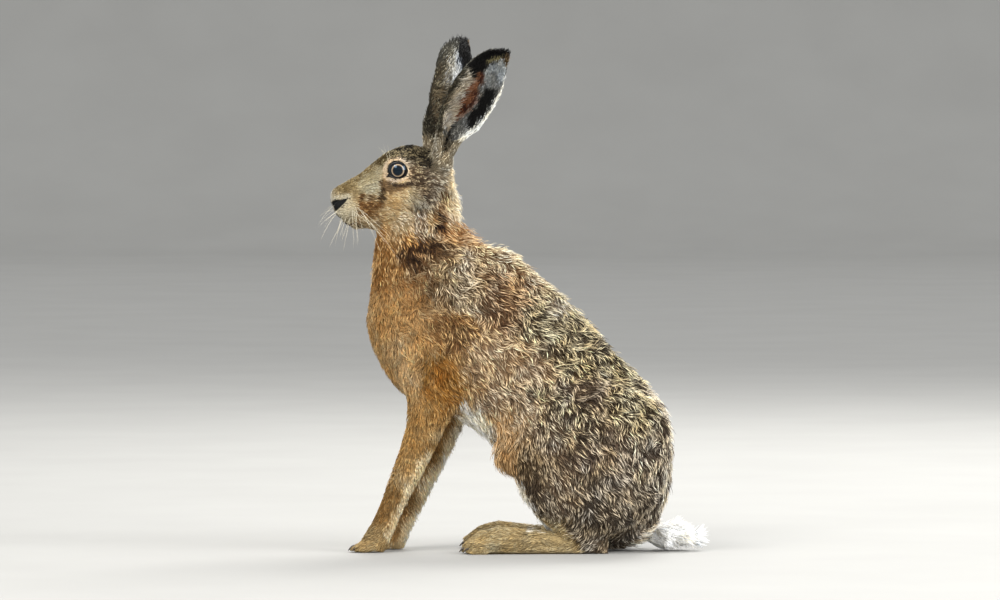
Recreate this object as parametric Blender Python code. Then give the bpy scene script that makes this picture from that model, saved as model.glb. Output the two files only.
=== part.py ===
"""A brown hare sitting upright on its haunches, life size, as a still museum model.

Metres, +Z up. The hare faces -X and its left side is at -Y. The soles stand on the floor at z = 0 and the
origin is on the floor under the middle of the body. The solids give the outer form of the coat.
Sizes in this file are in millimetres and are turned into metres where a shape is made.
"""

import math
import random

import bmesh
import bpy
from mathutils import Matrix, Vector

MM = 0.001
LEFT = -1.0
RIGHT = 1.0
SIDES = {"left": LEFT, "right": RIGHT}

# The gap between neighbouring pieces, and how finely the flesh is made.
GAP = 0.3
GAP_CUT = 0.4
VOXEL = 1.7
BODY_SMOOTHING = 7
SOFT_SMOOTHING = 95
BODY_FACES = 5100
HEAD_DENSITY = 2.0
RING_POINTS = 40
LIMB_POINTS = 20
STATION_STEPS = 3
PATH_STEPS = 4
TUBE_SIDES = 6
ROUND = 4
ROUGH = 2
SMALLEST_EDGE = 0.02
FAR = 400.0
SEED = 7

# Where the flesh stays firm while the rest is smoothed: over a slanting line under the head, near the
# floor, and in the lower forelegs. Each pair is where the smoothing starts to fade and where it has gone.
HEAD_LINE_SLOPE = 0.49
HEAD_LINE_X = -150.0
FIRM_HEAD = (300.0, 332.0)
FIRM_FEET = (22.0, 60.0)
FIRM_LEG_HEIGHT = (120.0, 175.0)
FIRM_LEG_DEPTH = (-60.0, -30.0)

# Trunk: the back line's x and z, the breast and belly line's x and z, half the width, and how much
# narrower the back is than the belly.
TRUNK_STATIONS = [
    (-68, 374, -136, 334, 22, 0.05),
    (-60, 355, -143, 313, 26, 0.05),
    (-59, 332, -145, 290, 29, 0.05),
    (-48, 314, -147, 263, 34, 0.08),
    (-31, 305, -152, 231, 42, 0.12),
    (-9, 301, -141, 192, 48, 0.15),
    (13, 281, -116, 158, 50, 0.15),
    (39, 260, -75, 141, 52, 0.12),
    (67, 231, -42, 120, 56, 0.10),
    (94, 201, -12, 94, 60, 0.08),
    (125, 170, 5, 62, 60, -0.05),
    (148, 138, 18, 35, 58, -0.18),
    (154, 100, 42, 14, 52, -0.18),
    (151, 62, 82, 5, 44, 0.0),
    (141, 34, 112, 5, 26, 0.0),
]

# Head, from the nose to the nape: the brow line's x and z, the chin line's x and z, half the width, and
# how much narrower the crown is than the jaw.
HEAD_STATIONS = [
    (-187.5, 357, -187.5, 349, 4.5, 0.0),
    (-185, 362, -185, 342, 9, 0.05),
    (-178, 366.5, -179, 334, 13, 0.12),
    (-169, 371.5, -169, 328, 16, 0.16),
    (-158, 378, -158, 324, 18.5, 0.20),
    (-147, 387, -146, 321.5, 21.5, 0.22),
    (-135, 396.5, -133, 320, 25, 0.20),
    (-122, 403, -117, 318, 28, 0.18),
    (-108, 406, -101, 317, 29, 0.14),
    (-94, 403, -86, 322, 27.5, 0.08),
    (-79, 394, -74, 332, 24, 0.0),
    (-66, 384, -64, 348, 15, 0.0),
]

# Muscles, cheeks and mounds of one side: the centre, the radii and the turn in degrees in the side view.
SHOULDER = ((-66, 29, 258), (36, 17, 46), -25)
UPPER_ARM = ((-110, 27, 222), (29, 18, 38), 15)
THIGH = ((72, 48, 97), (80, 35, 79), 0)
RUMP = ((106, 42, 114), (46, 34, 50), 0)
FLANK_FOLD = ((-9, 43, 115), (16, 9, 38), 14)
CHEEK = ((-107, 18, 346), (25, 12, 24), 0)
EYE_MOUND = ((-117, 19, 381), (15, 8, 13), 0)
BROW = ((-119, 15, 391), (15, 6.5, 5), -18)
WHISKER_PAD = ((-171, 8.5, 343), (14, 8, 11.5), 10)
EAR_BASE = ((-82, 13, 386), (14, 12, 14), 0)
SIDE_MASSES = [SHOULDER, UPPER_ARM, THIGH, RUMP, FLANK_FOLD, CHEEK, EYE_MOUND, BROW, WHISKER_PAD, EAR_BASE]
CHIN = ((-163, 0, 329), (13, 9, 7), 12)

# Limbs: x, y and z of the middle line, half the depth seen from the side and half the width from the front.
FORELEG_PATH = [
    (-92, 36, 232, 30, 14),
    (-92, 35, 205, 33, 16),
    (-89, 33, 178, 30, 16.5),
    (-87, 30, 152, 25, 15.5),
    (-93, 27.5, 125, 19.5, 14),
    (-102, 25.5, 101, 16.5, 12.5),
    (-113, 24.5, 76, 14, 11),
    (-123, 24, 52, 12.5, 10.2),
    (-132, 24, 31, 12, 10.5),
    (-140, 24, 14, 13, 12.5),
    (-146, 24, 5, 12, 13),
]
FORELEG_STEP_BACK = {"left": 0.0, "right": 17.0}
STEP_BACK_TOP = 200.0
STEP_BACK_BOTTOM = 140.0
HIND_FOOT_PATH = [
    (90, 42, 8, 9, 10),
    (74, 42, 9, 11, 12.5),
    (50, 43, 10, 12, 13.5),
    (25, 44, 11, 12, 14.5),
    (2, 45, 12, 13, 16),
    (-18, 46, 13, 14, 17.5),
    (-34, 46.5, 11, 12, 17),
    (-43, 47, 9, 8, 15),
]
LOWER_LEG_PATH = [
    (26, 52, 118, 30, 15),
    (24, 53, 96, 34, 20),
    (40, 53, 66, 31, 20),
    (60, 50, 36, 25, 17),
    (78, 46, 14, 16, 12),
]
FORE_TOES = {"count": 4, "spread": 6.0, "front": -157.0, "radii": (10.5, 4.0, 6.0), "height": 5.5}
HIND_TOES = {"count": 4, "spread": 8.4, "front": -42.0, "radii": (14.5, 5.3, 9.5), "height": 8.0}
TOE_SET_BACK = 2.4
TOE_SET_BACK_POWER = 1.6
TOE_DROOP = -8.0

# Claws, one to a toe: how far the root lies inside the toe's front and the tip before it, their heights,
# and the thickness along the claw.
CLAW_ROOT_DEPTH = 4.0
CLAW_REACH = 2.6
CLAW_ROOT_HEIGHT = 6.0
CLAW_TIP_HEIGHT = 1.6
CLAW_ARCH = 1.2
CLAW_RADII = [1.6, 1.4, 1.0, 0.4]
CLAW_SIDES = 5

# Eyes and lids. The aim is the way that an eye looks, on the right side.
EYE_CENTRE = (-119.6, 19.0, 381.5)
EYE_RADIUS = 10.8
EYE_AIM = (-0.20, 0.96, 0.10)
EYE_SEGMENTS = (20, 12)
LID_THICKNESS = 3.2
LID_POINTS = 24
LID_REACH = 55.0
LID_CORNER_REACH = 12.0
LID_CORNER_DROP = 0.40
LID_CORNER_SHARPNESS = 6
LID_LENGTHENING = 7.0

# Nose and mouth: places near the skin of the right side, and the half width of the groove there.
NOSTRIL_PATH = [(-186, 2.5, 344, 1.1), (-183, 5, 347, 2.3), (-178, 9, 351, 1.9), (-170.5, 11, 353.5, 0.8)]
PHILTRUM_PATH = [(-188, 0, 348, 0.6), (-185, 0, 341, 1.0), (-180, 0, 333, 1.2), (-176, 0, 328, 1.0)]
MOUTH_PATH = [(-176, 0, 328, 1.0), (-172, 5, 327, 1.2), (-166, 9, 326, 1.1), (-159, 13, 328.5, 0.7)]

# One ear in its own frame: how far along from the root, how far the middle lies behind the straight axis,
# half the width, and the angle that the wall spans.
EAR_ROWS = [
    (-10, -2.0, 10.0, 335),
    (2, -2.0, 10.6, 333),
    (14, -4.0, 11.6, 326),
    (24, -6.2, 12.8, 300),
    (33, -6.8, 15.5, 244),
    (44, -6.2, 20.0, 196),
    (57, -6.9, 22.5, 172),
    (72, -7.8, 23.4, 154),
    (86, -7.9, 22.6, 140),
    (98, -8.4, 20.3, 130),
    (109, -8.8, 16.6, 120),
    (118, -8.0, 12.0, 112),
    (124, -5.2, 7.4, 104),
    (127.5, -2.0, 3.2, 95),
]
EAR_WALL = 3.4
EAR_TIP_WALL = 0.35
EAR_FULL_WALL_WIDTH = 31.0
EAR_FLATTEST = 0.1
EAR_RIM_THINNING = 0.5
EAR_STEPS_ACROSS = 10
EAR_STEPS_ALONG = 18
EAR_PLUG_RADII = (12.2, 12.2, 15.0)

# How each ear stands: its root, its tip, the way that its hollow faces, and how much broader its tip is
# than the rows say, over the last stretch.
EAR_TIP_STRETCH = (84.0, 116.0)
EARS = {
    "left": {"root": (-77, -16, 391), "tip": (-10, -33, 496), "faces": (0.12, -0.99, 0.0), "breadth": 1.0},
    "right": {"root": (-84, 18.5, 388), "tip": (-55, 28, 504), "faces": (-0.74, 0.67, 0.0), "breadth": 1.4},
}

# Tail: a short core, then tiers of flat, tapered locks. Core: x, y and z of the middle line, half the
# height and half the width. Tiers: the egg-shaped rings that the locks start and end on, each by its x,
# the height of its middle, half its height and half its width, and how many locks go round it.
TAIL_CORE_PATH = [
    (116, 0, 22, 9, 13),
    (128, 0, 18, 11.5, 17),
    (140, 0, 15, 12, 18),
    (149, 0, 13.5, 9.5, 14),
    (154, 0, 13, 5, 8),
]
TAIL_TIERS = [
    ((124, 17, 8.5, 13), (160, 14, 15.5, 23), 8),
    ((138, 15, 8.0, 13), (177, 13, 12.5, 18), 8),
    ((147, 13, 6.0, 9), (190, 9.5, 5.5, 8), 7),
]
TAIL_FAN = 104.0
TAIL_UNEVENNESS = 3.0
LOCK_HALF_WIDTH = 5.6
LOCK_FLATNESS = 0.28
LOCK_BOW = 2.6
LOCK_TAPER = [0.85, 1.0, 0.90, 0.62, 0.16]
FLOOR_CLEARANCE = 0.6

# Outlines in the side view, x and z, of the regions that are parted from the whole.
HEAD_OUTLINE = [(-300, 248), (-60, 366), (-40, 600), (-300, 600)]
NECK_OUTLINE = [(-300, 198), (40, 351), (40, 600), (-300, 600)]
FORELEG_OUTLINE = [(-230, -20), (-66, -20), (-45, 100), (-45, 124), (-230, 124)]
FOREPAW_OUTLINE = [(-230, -20), (-60, -20), (-60, 38), (-118, 38), (-146, 26), (-230, 26)]
HIND_FOOT_OUTLINE = [(-100, -20), (72, -20), (34, 32), (10, 40), (-100, 40)]
HAUNCH_CENTRE = (72, 96)
HAUNCH_RADIUS = 84.0
HAUNCH_INNER_Y = 22.0
HAUNCH_ARC = (200.0, 40.0)
HAUNCH_ARC_STEPS = 18
LEG_INNER_Y = 0.2
OUTER_Y = 150.0

# Finishes: base colour and roughness.
OLIVE_FUR = ((0.20, 0.15, 0.10), 0.90)
RUST_FUR = ((0.36, 0.20, 0.10), 0.90)
AGOUTI_FUR = ((0.17, 0.13, 0.09), 0.92)
OCHRE_FUR = ((0.42, 0.26, 0.13), 0.90)
GREY_FUR = ((0.18, 0.15, 0.12), 0.88)
WHITE_FUR = ((0.80, 0.78, 0.74), 0.92)
DARK_EYE = ((0.05, 0.02, 0.01), 0.05)
FINISHES = {
    "head": OLIVE_FUR,
    "neck": RUST_FUR,
    "torso": AGOUTI_FUR,
    "foreleg": OCHRE_FUR,
    "forepaw": OCHRE_FUR,
    "haunch": AGOUTI_FUR,
    "hind_foot": OCHRE_FUR,
    "ear": GREY_FUR,
    "eye": DARK_EYE,
    "tail": WHITE_FUR,
}


def interpolate(rows, steps):
    """Rows of numbers on a smooth curve through the given rows, with this many steps between each two."""
    curve = []
    last = len(rows) - 1
    for index in range(last):
        before = rows[max(index - 1, 0)]
        start = rows[index]
        end = rows[index + 1]
        after = rows[min(index + 2, last)]
        for step in range(steps):
            t = step / steps
            row = []
            for p0, p1, p2, p3 in zip(before, start, end, after):
                bend = 2 * p0 - 5 * p1 + 4 * p2 - p3
                twist = 3 * p1 - p0 - 3 * p2 + p3
                row.append(0.5 * (2 * p1 + (p2 - p0) * t + bend * t * t + twist * t**3))
            curve.append(row)
    curve.append(list(rows[last]))
    return curve


def row_at(rows, share):
    """The row at a share from 0 to 1 along a list of rows."""
    place = share * (len(rows) - 1)
    index = min(int(place), len(rows) - 2)
    t = place - index
    return [a + (b - a) * t for a, b in zip(rows[index], rows[index + 1])]


def ramp(value, start, end):
    """0 at start and below it, 1 at end, with a smooth climb between them."""
    t = min(1.0, max(0.0, (value - start) / (end - start)))
    return t * t * (3 - 2 * t)


def mirrored(place, side):
    """A place or direction of the right side, moved to the side that is asked for."""
    return Vector((place[0], side * place[1], place[2]))


def mesh_object(name, bm):
    """Turns a bmesh into a named object in the scene."""
    mesh = bpy.data.meshes.new(name)
    bm.to_mesh(mesh)
    bm.free()
    obj = bpy.data.objects.new(name, mesh)
    bpy.context.scene.collection.objects.link(obj)
    return obj


def add_modifier(obj, kind, **settings):
    """Adds a modifier with these settings."""
    modifier = obj.modifiers.new(kind.lower(), kind)
    for name, value in settings.items():
        setattr(modifier, name, value)
    return modifier


def settled(obj):
    """Applies the object's modifiers to its mesh."""
    graph = bpy.context.evaluated_depsgraph_get()
    mesh = bpy.data.meshes.new_from_object(obj.evaluated_get(graph))
    obj.modifiers.clear()
    old = obj.data
    obj.data = mesh
    bpy.data.meshes.remove(old)
    mesh.name = obj.name
    return obj


def ring_edges(loop):
    """The edges that join the points of one ring."""
    members = set(loop)
    return list({edge for vertex in loop for edge in vertex.link_edges if set(edge.verts) <= members})


def add_loft(bm, rings):
    """Joins closed rings of the same number of points, in millimetres, into one closed form."""
    loops = []
    for ring in rings:
        made = bmesh.ops.create_circle(bm, segments=len(ring), radius=MM)
        for vertex, place in zip(made["verts"], ring):
            vertex.co = Vector(place) * MM
        loops.append(made["verts"])
    for one, other in zip(loops, loops[1:]):
        bmesh.ops.bridge_loops(bm, edges=ring_edges(one) + ring_edges(other))
    for end in (loops[0], loops[-1]):
        bmesh.ops.contextual_create(bm, geom=ring_edges(end))
    faces = list({face for loop in loops for vertex in loop for face in vertex.link_faces})
    bmesh.ops.recalc_face_normals(bm, faces=faces)


def add_profile_loft(bm, stations):
    """A form with mirrored sides, given by its upper line, its lower line and its width."""
    rings = []
    for top_x, top_z, low_x, low_z, half_width, narrowing in interpolate(stations, STATION_STEPS):
        middle = Vector(((top_x + low_x) / 2, 0, (top_z + low_z) / 2))
        reach = Vector(((top_x - low_x) / 2, 0, (top_z - low_z) / 2))
        ring = []
        for index in range(RING_POINTS):
            angle = math.tau * index / RING_POINTS
            height = math.cos(angle)
            side = math.sin(angle) * half_width * (1 - narrowing * height)
            ring.append(middle + reach * height + Vector((0, side, 0)))
        rings.append(ring)
    add_loft(bm, rings)


def add_limb(bm, path, side):
    """A limb along x, y, z, with a half depth seen from the side and a half width seen from the front."""
    rows = interpolate(path, PATH_STEPS)
    rings = []
    for index, (x, y, z, depth, width) in enumerate(rows):
        before = mirrored(rows[max(index - 1, 0)], side)
        after = mirrored(rows[min(index + 1, len(rows) - 1)], side)
        along = (after - before).normalized()
        across = Vector((along.z, 0, -along.x)).normalized()
        out = along.cross(across)
        ring = []
        for point in range(LIMB_POINTS):
            angle = math.tau * point / LIMB_POINTS
            ring.append(
                mirrored((x, y, z), side) + across * depth * math.cos(angle) + out * width * math.sin(angle)
            )
        rings.append(ring)
    add_loft(bm, rings)


def add_ellipsoid(bm, centre, radii, turn=0.0, fineness=ROUND):
    """An egg form, turned by an angle in degrees in the side view."""
    matrix = Matrix.Translation(Vector(centre) * MM)
    matrix = matrix @ Matrix.Rotation(math.radians(turn), 4, "Y")
    matrix = matrix @ Matrix.Diagonal(Vector(radii) * MM).to_4x4()
    bmesh.ops.create_icosphere(bm, subdivisions=fineness, radius=1.0, matrix=matrix)


def toe_places(toes, middle_y, step_back, side):
    """The middle of each toe of a row, the outer two set back."""
    places = []
    for index in range(toes["count"]):
        offset = index - (toes["count"] - 1) / 2
        set_back = abs(offset) ** TOE_SET_BACK_POWER * TOE_SET_BACK
        place = (toes["front"] + step_back + set_back, middle_y + offset * toes["spread"], toes["height"])
        places.append(mirrored(place, side))
    return places


def add_toes(bm, toes, middle_y, step_back, side):
    """A row of furred toes."""
    for place in toe_places(toes, middle_y, step_back, side):
        add_ellipsoid(bm, place, toes["radii"], turn=TOE_DROOP)


def claws(paw, toes, middle_y, step_back, side):
    """Fuses a curved claw into the front of each toe."""
    pieces = []
    for place in toe_places(toes, middle_y, step_back, side):
        front = place.x - toes["radii"][0]
        rings = []
        for index, radius in enumerate(CLAW_RADII):
            share = index / (len(CLAW_RADII) - 1)
            x = front + CLAW_ROOT_DEPTH - (CLAW_ROOT_DEPTH + CLAW_REACH) * share
            z = CLAW_ROOT_HEIGHT + (CLAW_TIP_HEIGHT - CLAW_ROOT_HEIGHT) * share
            z += CLAW_ARCH * math.sin(math.pi * share)
            ring = []
            for point in range(CLAW_SIDES):
                angle = math.tau * point / CLAW_SIDES
                ring.append((x, place.y + radius * math.cos(angle), z + radius * math.sin(angle)))
            rings.append(ring)
        bm = bmesh.new()
        add_loft(bm, rings)
        pieces.append(mesh_object("claw", bm))
    fuse(paw, pieces)


def stepped_back(path, distance):
    """A foreleg's path with its foot set back and its shoulder left in place."""
    rows = []
    for x, y, z, depth, width in path:
        share = 1 - ramp(z, STEP_BACK_BOTTOM, STEP_BACK_TOP)
        rows.append((x + distance * share, y, z, depth, width))
    return rows


def softness(place):
    """How far the surface is smoothed: the trunk fully, the head, lower legs and feet hardly."""
    x, _, z = place
    head = ramp(z - HEAD_LINE_SLOPE * (x - HEAD_LINE_X), *FIRM_HEAD)
    feet = 1 - ramp(z, *FIRM_FEET)
    foreleg = (1 - ramp(z, *FIRM_LEG_HEIGHT)) * (1 - ramp(x, *FIRM_LEG_DEPTH))
    return 1 - max(head, feet, foreleg)


def weigh(obj, name, weight_of):
    """Gives the object a vertex group weighted by a function of the place in millimetres."""
    group = obj.vertex_groups.new(name=name)
    for vertex in obj.data.vertices:
        group.add([vertex.index], weight_of(vertex.co / MM), "REPLACE")


def flesh():
    """The whole animal but its ears, tail and eyes, as one closed and finely divided surface."""
    bm = bmesh.new()
    add_profile_loft(bm, TRUNK_STATIONS)
    add_profile_loft(bm, HEAD_STATIONS)
    add_ellipsoid(bm, *CHIN)
    for name, side in SIDES.items():
        for centre, radii, turn in SIDE_MASSES:
            add_ellipsoid(bm, mirrored(centre, side), radii, turn)
        step_back = FORELEG_STEP_BACK[name]
        add_limb(bm, stepped_back(FORELEG_PATH, step_back), side)
        add_toes(bm, FORE_TOES, FORELEG_PATH[-1][1], step_back, side)
        add_limb(bm, HIND_FOOT_PATH, side)
        add_limb(bm, LOWER_LEG_PATH, side)
        add_toes(bm, HIND_TOES, HIND_FOOT_PATH[-1][1], 0, side)
    body = mesh_object("flesh", bm)
    add_modifier(body, "REMESH", mode="VOXEL", voxel_size=VOXEL * MM)
    settled(body)
    weigh(body, "soft", softness)
    add_modifier(body, "SMOOTH", factor=0.5, iterations=SOFT_SMOOTHING, vertex_group="soft")
    add_modifier(body, "SMOOTH", factor=0.5, iterations=BODY_SMOOTHING)
    settled(body)
    body.vertex_groups.clear()
    return body


def thinned(obj, name, faces):
    """A copy of the flesh with about this many triangles, standing flat on the floor."""
    copy = copy_of(obj, name)
    add_modifier(copy, "DECIMATE", ratio=faces / (2 * len(copy.data.polygons)))
    settled(copy)
    return cut(copy, "DIFFERENCE", below_floor())


def prism(name, outline, low_y, high_y):
    """A block with this outline in the side view, from one y to another."""
    bm = bmesh.new()
    verts = [bm.verts.new(Vector((x, low_y, z)) * MM) for x, z in outline]
    face = bm.faces.new(verts)
    made = bmesh.ops.extrude_face_region(bm, geom=[face])
    moved = [item for item in made["geom"] if isinstance(item, bmesh.types.BMVert)]
    bmesh.ops.translate(bm, verts=moved, vec=Vector((0, high_y - low_y, 0)) * MM)
    bmesh.ops.recalc_face_normals(bm, faces=bm.faces[:])
    return mesh_object(name, bm)


def below_floor():
    """A block that fills the room under the floor."""
    return prism("below_floor", [(-FAR, -FAR), (FAR, -FAR), (FAR, 0), (-FAR, 0)], -FAR, FAR)


def side_prism(outline, inner_y, side):
    """A block with this outline that reaches outwards from an inner y on one side of the animal."""
    ends = sorted((side * inner_y, side * OUTER_Y))
    return prism("region", outline, *ends)


def copy_of(obj, name, grown=0.0):
    """A copy of an object's mesh, with its surface moved outwards by some millimetres."""
    copy = bpy.data.objects.new(name, obj.data.copy())
    bpy.context.scene.collection.objects.link(copy)
    if grown:
        bm = bmesh.new()
        bm.from_mesh(copy.data)
        bm.normal_update()
        for vertex in bm.verts:
            vertex.co += vertex.normal * grown * MM
        bm.to_mesh(copy.data)
        bm.free()
    return copy


def cut(obj, operation, other, keep_other=False, solver="EXACT"):
    """Applies a Boolean with the other object, and removes that one unless it is still needed."""
    add_modifier(obj, "BOOLEAN", operation=operation, object=other, solver=solver)
    settled(obj)
    if not keep_other:
        bpy.data.objects.remove(other)
    keep_largest(obj)
    return obj


def fuse(obj, pieces):
    """Joins closed pieces to an object with one Boolean union, and removes them."""
    group = bpy.data.collections.new("pieces")
    for piece in pieces:
        group.objects.link(piece)
    add_modifier(
        obj, "BOOLEAN", operation="UNION", operand_type="COLLECTION", collection=group, solver="EXACT"
    )
    settled(obj)
    for piece in pieces:
        bpy.data.objects.remove(piece)
    bpy.data.collections.remove(group)
    keep_largest(obj)


def connected_parts(bm):
    """The faces of the mesh, as lists of those that hang together."""
    unseen = set(bm.faces)
    parts = []
    while unseen:
        front = [unseen.pop()]
        part = list(front)
        while front:
            for edge in front.pop().edges:
                for other in edge.link_faces:
                    if other in unseen:
                        unseen.remove(other)
                        front.append(other)
                        part.append(other)
        parts.append(part)
    return parts


def keep_largest(obj):
    """Keeps the largest closed surface of the mesh and drops loose scraps."""
    bm = bmesh.new()
    bm.from_mesh(obj.data)
    bmesh.ops.triangulate(bm, faces=bm.faces[:])
    parts = connected_parts(bm)
    parts.sort(key=lambda part: sum(face.calc_area() for face in part))
    scraps = [face for part in parts[:-1] for face in part]
    bmesh.ops.delete(bm, geom=scraps, context="FACES")
    bmesh.ops.dissolve_degenerate(bm, dist=SMALLEST_EDGE * MM, edges=bm.edges[:])
    bmesh.ops.triangulate(bm, faces=bm.faces[:])
    bm.to_mesh(obj.data)
    bm.free()


def part_off(body, name, region):
    """Parts the piece of the body inside a region from the rest, with a thin gap between them."""
    piece = copy_of(body, name)
    wider = copy_of(region, "wider", grown=GAP_CUT)
    cut(piece, "INTERSECT", region)
    cut(body, "DIFFERENCE", wider)
    return piece


def haunch_outline():
    """A round arch over the thigh, open to the rear and below."""
    start, end = HAUNCH_ARC
    outline = []
    for index in range(HAUNCH_ARC_STEPS + 1):
        angle = math.radians(start + (end - start) * index / HAUNCH_ARC_STEPS)
        x = HAUNCH_CENTRE[0] + HAUNCH_RADIUS * math.cos(angle)
        z = HAUNCH_CENTRE[1] + HAUNCH_RADIUS * math.sin(angle)
        outline.append((x, z))
    return outline + [(FAR, outline[-1][1]), (FAR, -FAR), (outline[0][0], -FAR)]


def tube(name, rows, closed=False):
    """A round bar through places with a radius each, as a closed mesh."""
    curve = bpy.data.curves.new(name, "CURVE")
    curve.dimensions = "3D"
    curve.bevel_depth = MM
    curve.bevel_resolution = (TUBE_SIDES - 4) // 2
    curve.use_fill_caps = True
    spline = curve.splines.new("POLY")
    spline.points.add(len(rows) - 1)
    for point, (place, radius) in zip(spline.points, rows):
        point.co = (*(Vector(place) * MM), 1)
        point.radius = radius
    spline.use_cyclic_u = closed
    guide = bpy.data.objects.new(name, curve)
    bpy.context.scene.collection.objects.link(guide)
    graph = bpy.context.evaluated_depsgraph_get()
    mesh = bpy.data.meshes.new_from_object(guide.evaluated_get(graph))
    bpy.data.objects.remove(guide)
    obj = bpy.data.objects.new(name, mesh)
    bpy.context.scene.collection.objects.link(obj)
    return obj


def groove(head, path, side):
    """Cuts a narrow groove into the skin along a path near it."""
    rows = []
    for x, y, z, radius in interpolate(path, STATION_STEPS):
        _, place, _, _ = head.closest_point_on_mesh(mirrored((x, y, z), side) * MM)
        rows.append((place / MM, radius))
    cut(head, "DIFFERENCE", tube("groove", rows))


def mouth_path():
    """The line of the mouth from the right corner, round the front, to the left corner."""
    right = [row for row in MOUTH_PATH[:0:-1]]
    left = [(x, -y, z, radius) for x, y, z, radius in MOUTH_PATH[1:]]
    return right + [MOUTH_PATH[0]] + left


def eye(name, side, head):
    """One eyeball, with the socket and the lids that hold it in the head."""
    centre = mirrored(EYE_CENTRE, side)
    aim = mirrored(EYE_AIM, side).normalized()
    front = (Vector((-1, 0, 0)) + aim * aim.x).normalized()
    up = (Vector((0, 0, 1)) - aim * aim.z - front * front.z).normalized()
    rows = []
    for index in range(LID_POINTS):
        angle = math.tau * index / LID_POINTS
        corner = max(0.0, math.cos(angle)) ** LID_CORNER_SHARPNESS
        reach = math.radians(LID_REACH + LID_LENGTHENING * math.cos(angle) ** 2 + LID_CORNER_REACH * corner)
        way = front * math.cos(angle) + up * (math.sin(angle) - LID_CORNER_DROP * corner)
        place = centre + EYE_RADIUS * (aim * math.cos(reach) + way.normalized() * math.sin(reach))
        rows.append((place, LID_THICKNESS / 2))
    cut(head, "UNION", tube("lid", rows, closed=True))
    matrix = Matrix.Translation(centre * MM)
    u_segments, v_segments = EYE_SEGMENTS
    for radius, piece_name in ((EYE_RADIUS + GAP, "socket"), (EYE_RADIUS, "eye_" + name)):
        bm = bmesh.new()
        bmesh.ops.create_uvsphere(
            bm, u_segments=u_segments, v_segments=v_segments, radius=radius * MM, matrix=matrix
        )
        piece = mesh_object(piece_name, bm)
        if piece_name == "socket":
            cut(head, "DIFFERENCE", piece)


def ear(name, side, head):
    """One ear: a cupped leaf that closes to a tube at its root and stands on the head."""
    stance = EARS[name]
    root = Vector(stance["root"])
    along = (Vector(stance["tip"]) - root).normalized()
    faces = Vector(stance["faces"])
    faces = (faces - along * faces.dot(along)).normalized()
    across = along.cross(faces) * -side
    rows = interpolate(EAR_ROWS, PATH_STEPS)
    rings = []
    for step in range(EAR_STEPS_ALONG + 1):
        distance, middle, half_width, span = row_at(rows, step / EAR_STEPS_ALONG)
        half_width *= 1 + (stance["breadth"] - 1) * ramp(distance, *EAR_TIP_STRETCH)
        half_span = math.radians(span) / 2
        radius = half_width / max(math.sin(min(half_span, math.pi / 2)), EAR_FLATTEST)
        centre = root + along * distance + across * middle
        centre += faces * radius * max(0.0, math.cos(half_span))
        wall = EAR_WALL * min(1.0, EAR_TIP_WALL + half_width / EAR_FULL_WALL_WIDTH * (1 - EAR_TIP_WALL))
        arc = []
        for point in range(EAR_STEPS_ACROSS + 1):
            share = 2 * point / EAR_STEPS_ACROSS - 1
            angle = half_span * share
            way = across * math.sin(angle) - faces * math.cos(angle)
            arc.append((way, wall / 2 * (1 - EAR_RIM_THINNING * share * share)))
        outer = [centre + way * (radius + half) for way, half in arc]
        inner = [centre + way * (radius - half) for way, half in reversed(arc)]
        rings.append(outer + inner)
    bm = bmesh.new()
    add_loft(bm, rings)
    leaf = mesh_object("ear_" + name, bm)
    bm = bmesh.new()
    add_ellipsoid(bm, root, EAR_PLUG_RADII, fineness=ROUGH)
    cut(leaf, "UNION", mesh_object("plug", bm))
    cut(leaf, "DIFFERENCE", copy_of(head, "grown", grown=GAP))


def lock(root, tip, normal):
    """A flat, tapered lock of hair from a root to a tip, bowed along its normal."""
    along = (tip - root).normalized()
    normal = (normal - along * normal.dot(along)).normalized()
    across = along.cross(normal)
    rings = []
    for index, taper in enumerate(LOCK_TAPER):
        share = index / (len(LOCK_TAPER) - 1)
        centre = root.lerp(tip, share) + normal * LOCK_BOW * math.sin(math.pi * share)
        wide = across * LOCK_HALF_WIDTH * taper
        thick = normal * LOCK_HALF_WIDTH * LOCK_FLATNESS * taper
        rings.append([centre + wide, centre + thick, centre - wide, centre - thick])
    bm = bmesh.new()
    add_loft(bm, rings)
    return mesh_object("lock", bm)


def on_ring(ring, angle, distance=0.0):
    """The place on an upright egg-shaped ring at an angle from its top, moved back by a distance."""
    x, middle, half_height, half_width = ring
    place = Vector((x - distance, math.sin(angle) * half_width, middle + math.cos(angle) * half_height))
    place.z = max(place.z, FLOOR_CLEARANCE + LOCK_HALF_WIDTH * LOCK_FLATNESS * LOCK_TAPER[-1])
    return place


def tail(trunk):
    """The brush of the tail, lying on the floor behind the rump."""
    draw = random.Random(SEED)
    bm = bmesh.new()
    add_limb(bm, TAIL_CORE_PATH, RIGHT)
    brush = mesh_object("tail", bm)
    locks = []
    for start, end, count in TAIL_TIERS:
        for index in range(count):
            angle = math.radians(TAIL_FAN * (2 * index / (count - 1) - 1))
            root = on_ring(start, angle)
            tip = on_ring(end, angle, draw.uniform(0, TAIL_UNEVENNESS))
            locks.append(lock(root, tip, Vector((0, math.sin(angle), math.cos(angle)))))
    fuse(brush, locks)
    cut(brush, "DIFFERENCE", below_floor())
    for neighbour in trunk:
        cut(brush, "DIFFERENCE", copy_of(neighbour, "grown", grown=GAP))


def finish(obj):
    """Gives a piece a material of its own."""
    kind = next(kind for kind in FINISHES if obj.name.startswith(kind))
    colour, roughness = FINISHES[kind]
    material = bpy.data.materials.new(obj.name)
    material.use_nodes = True
    shader = material.node_tree.nodes["Principled BSDF"]
    shader.inputs["Base Color"].default_value = (*colour, 1.0)
    shader.inputs["Roughness"].default_value = roughness
    shader.inputs["Metallic"].default_value = 0.0
    obj.data.materials.clear()
    obj.data.materials.append(material)


def clear_scene():
    """Removes whatever the scene holds."""
    for obj in list(bpy.data.objects):
        bpy.data.objects.remove(obj)


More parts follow.
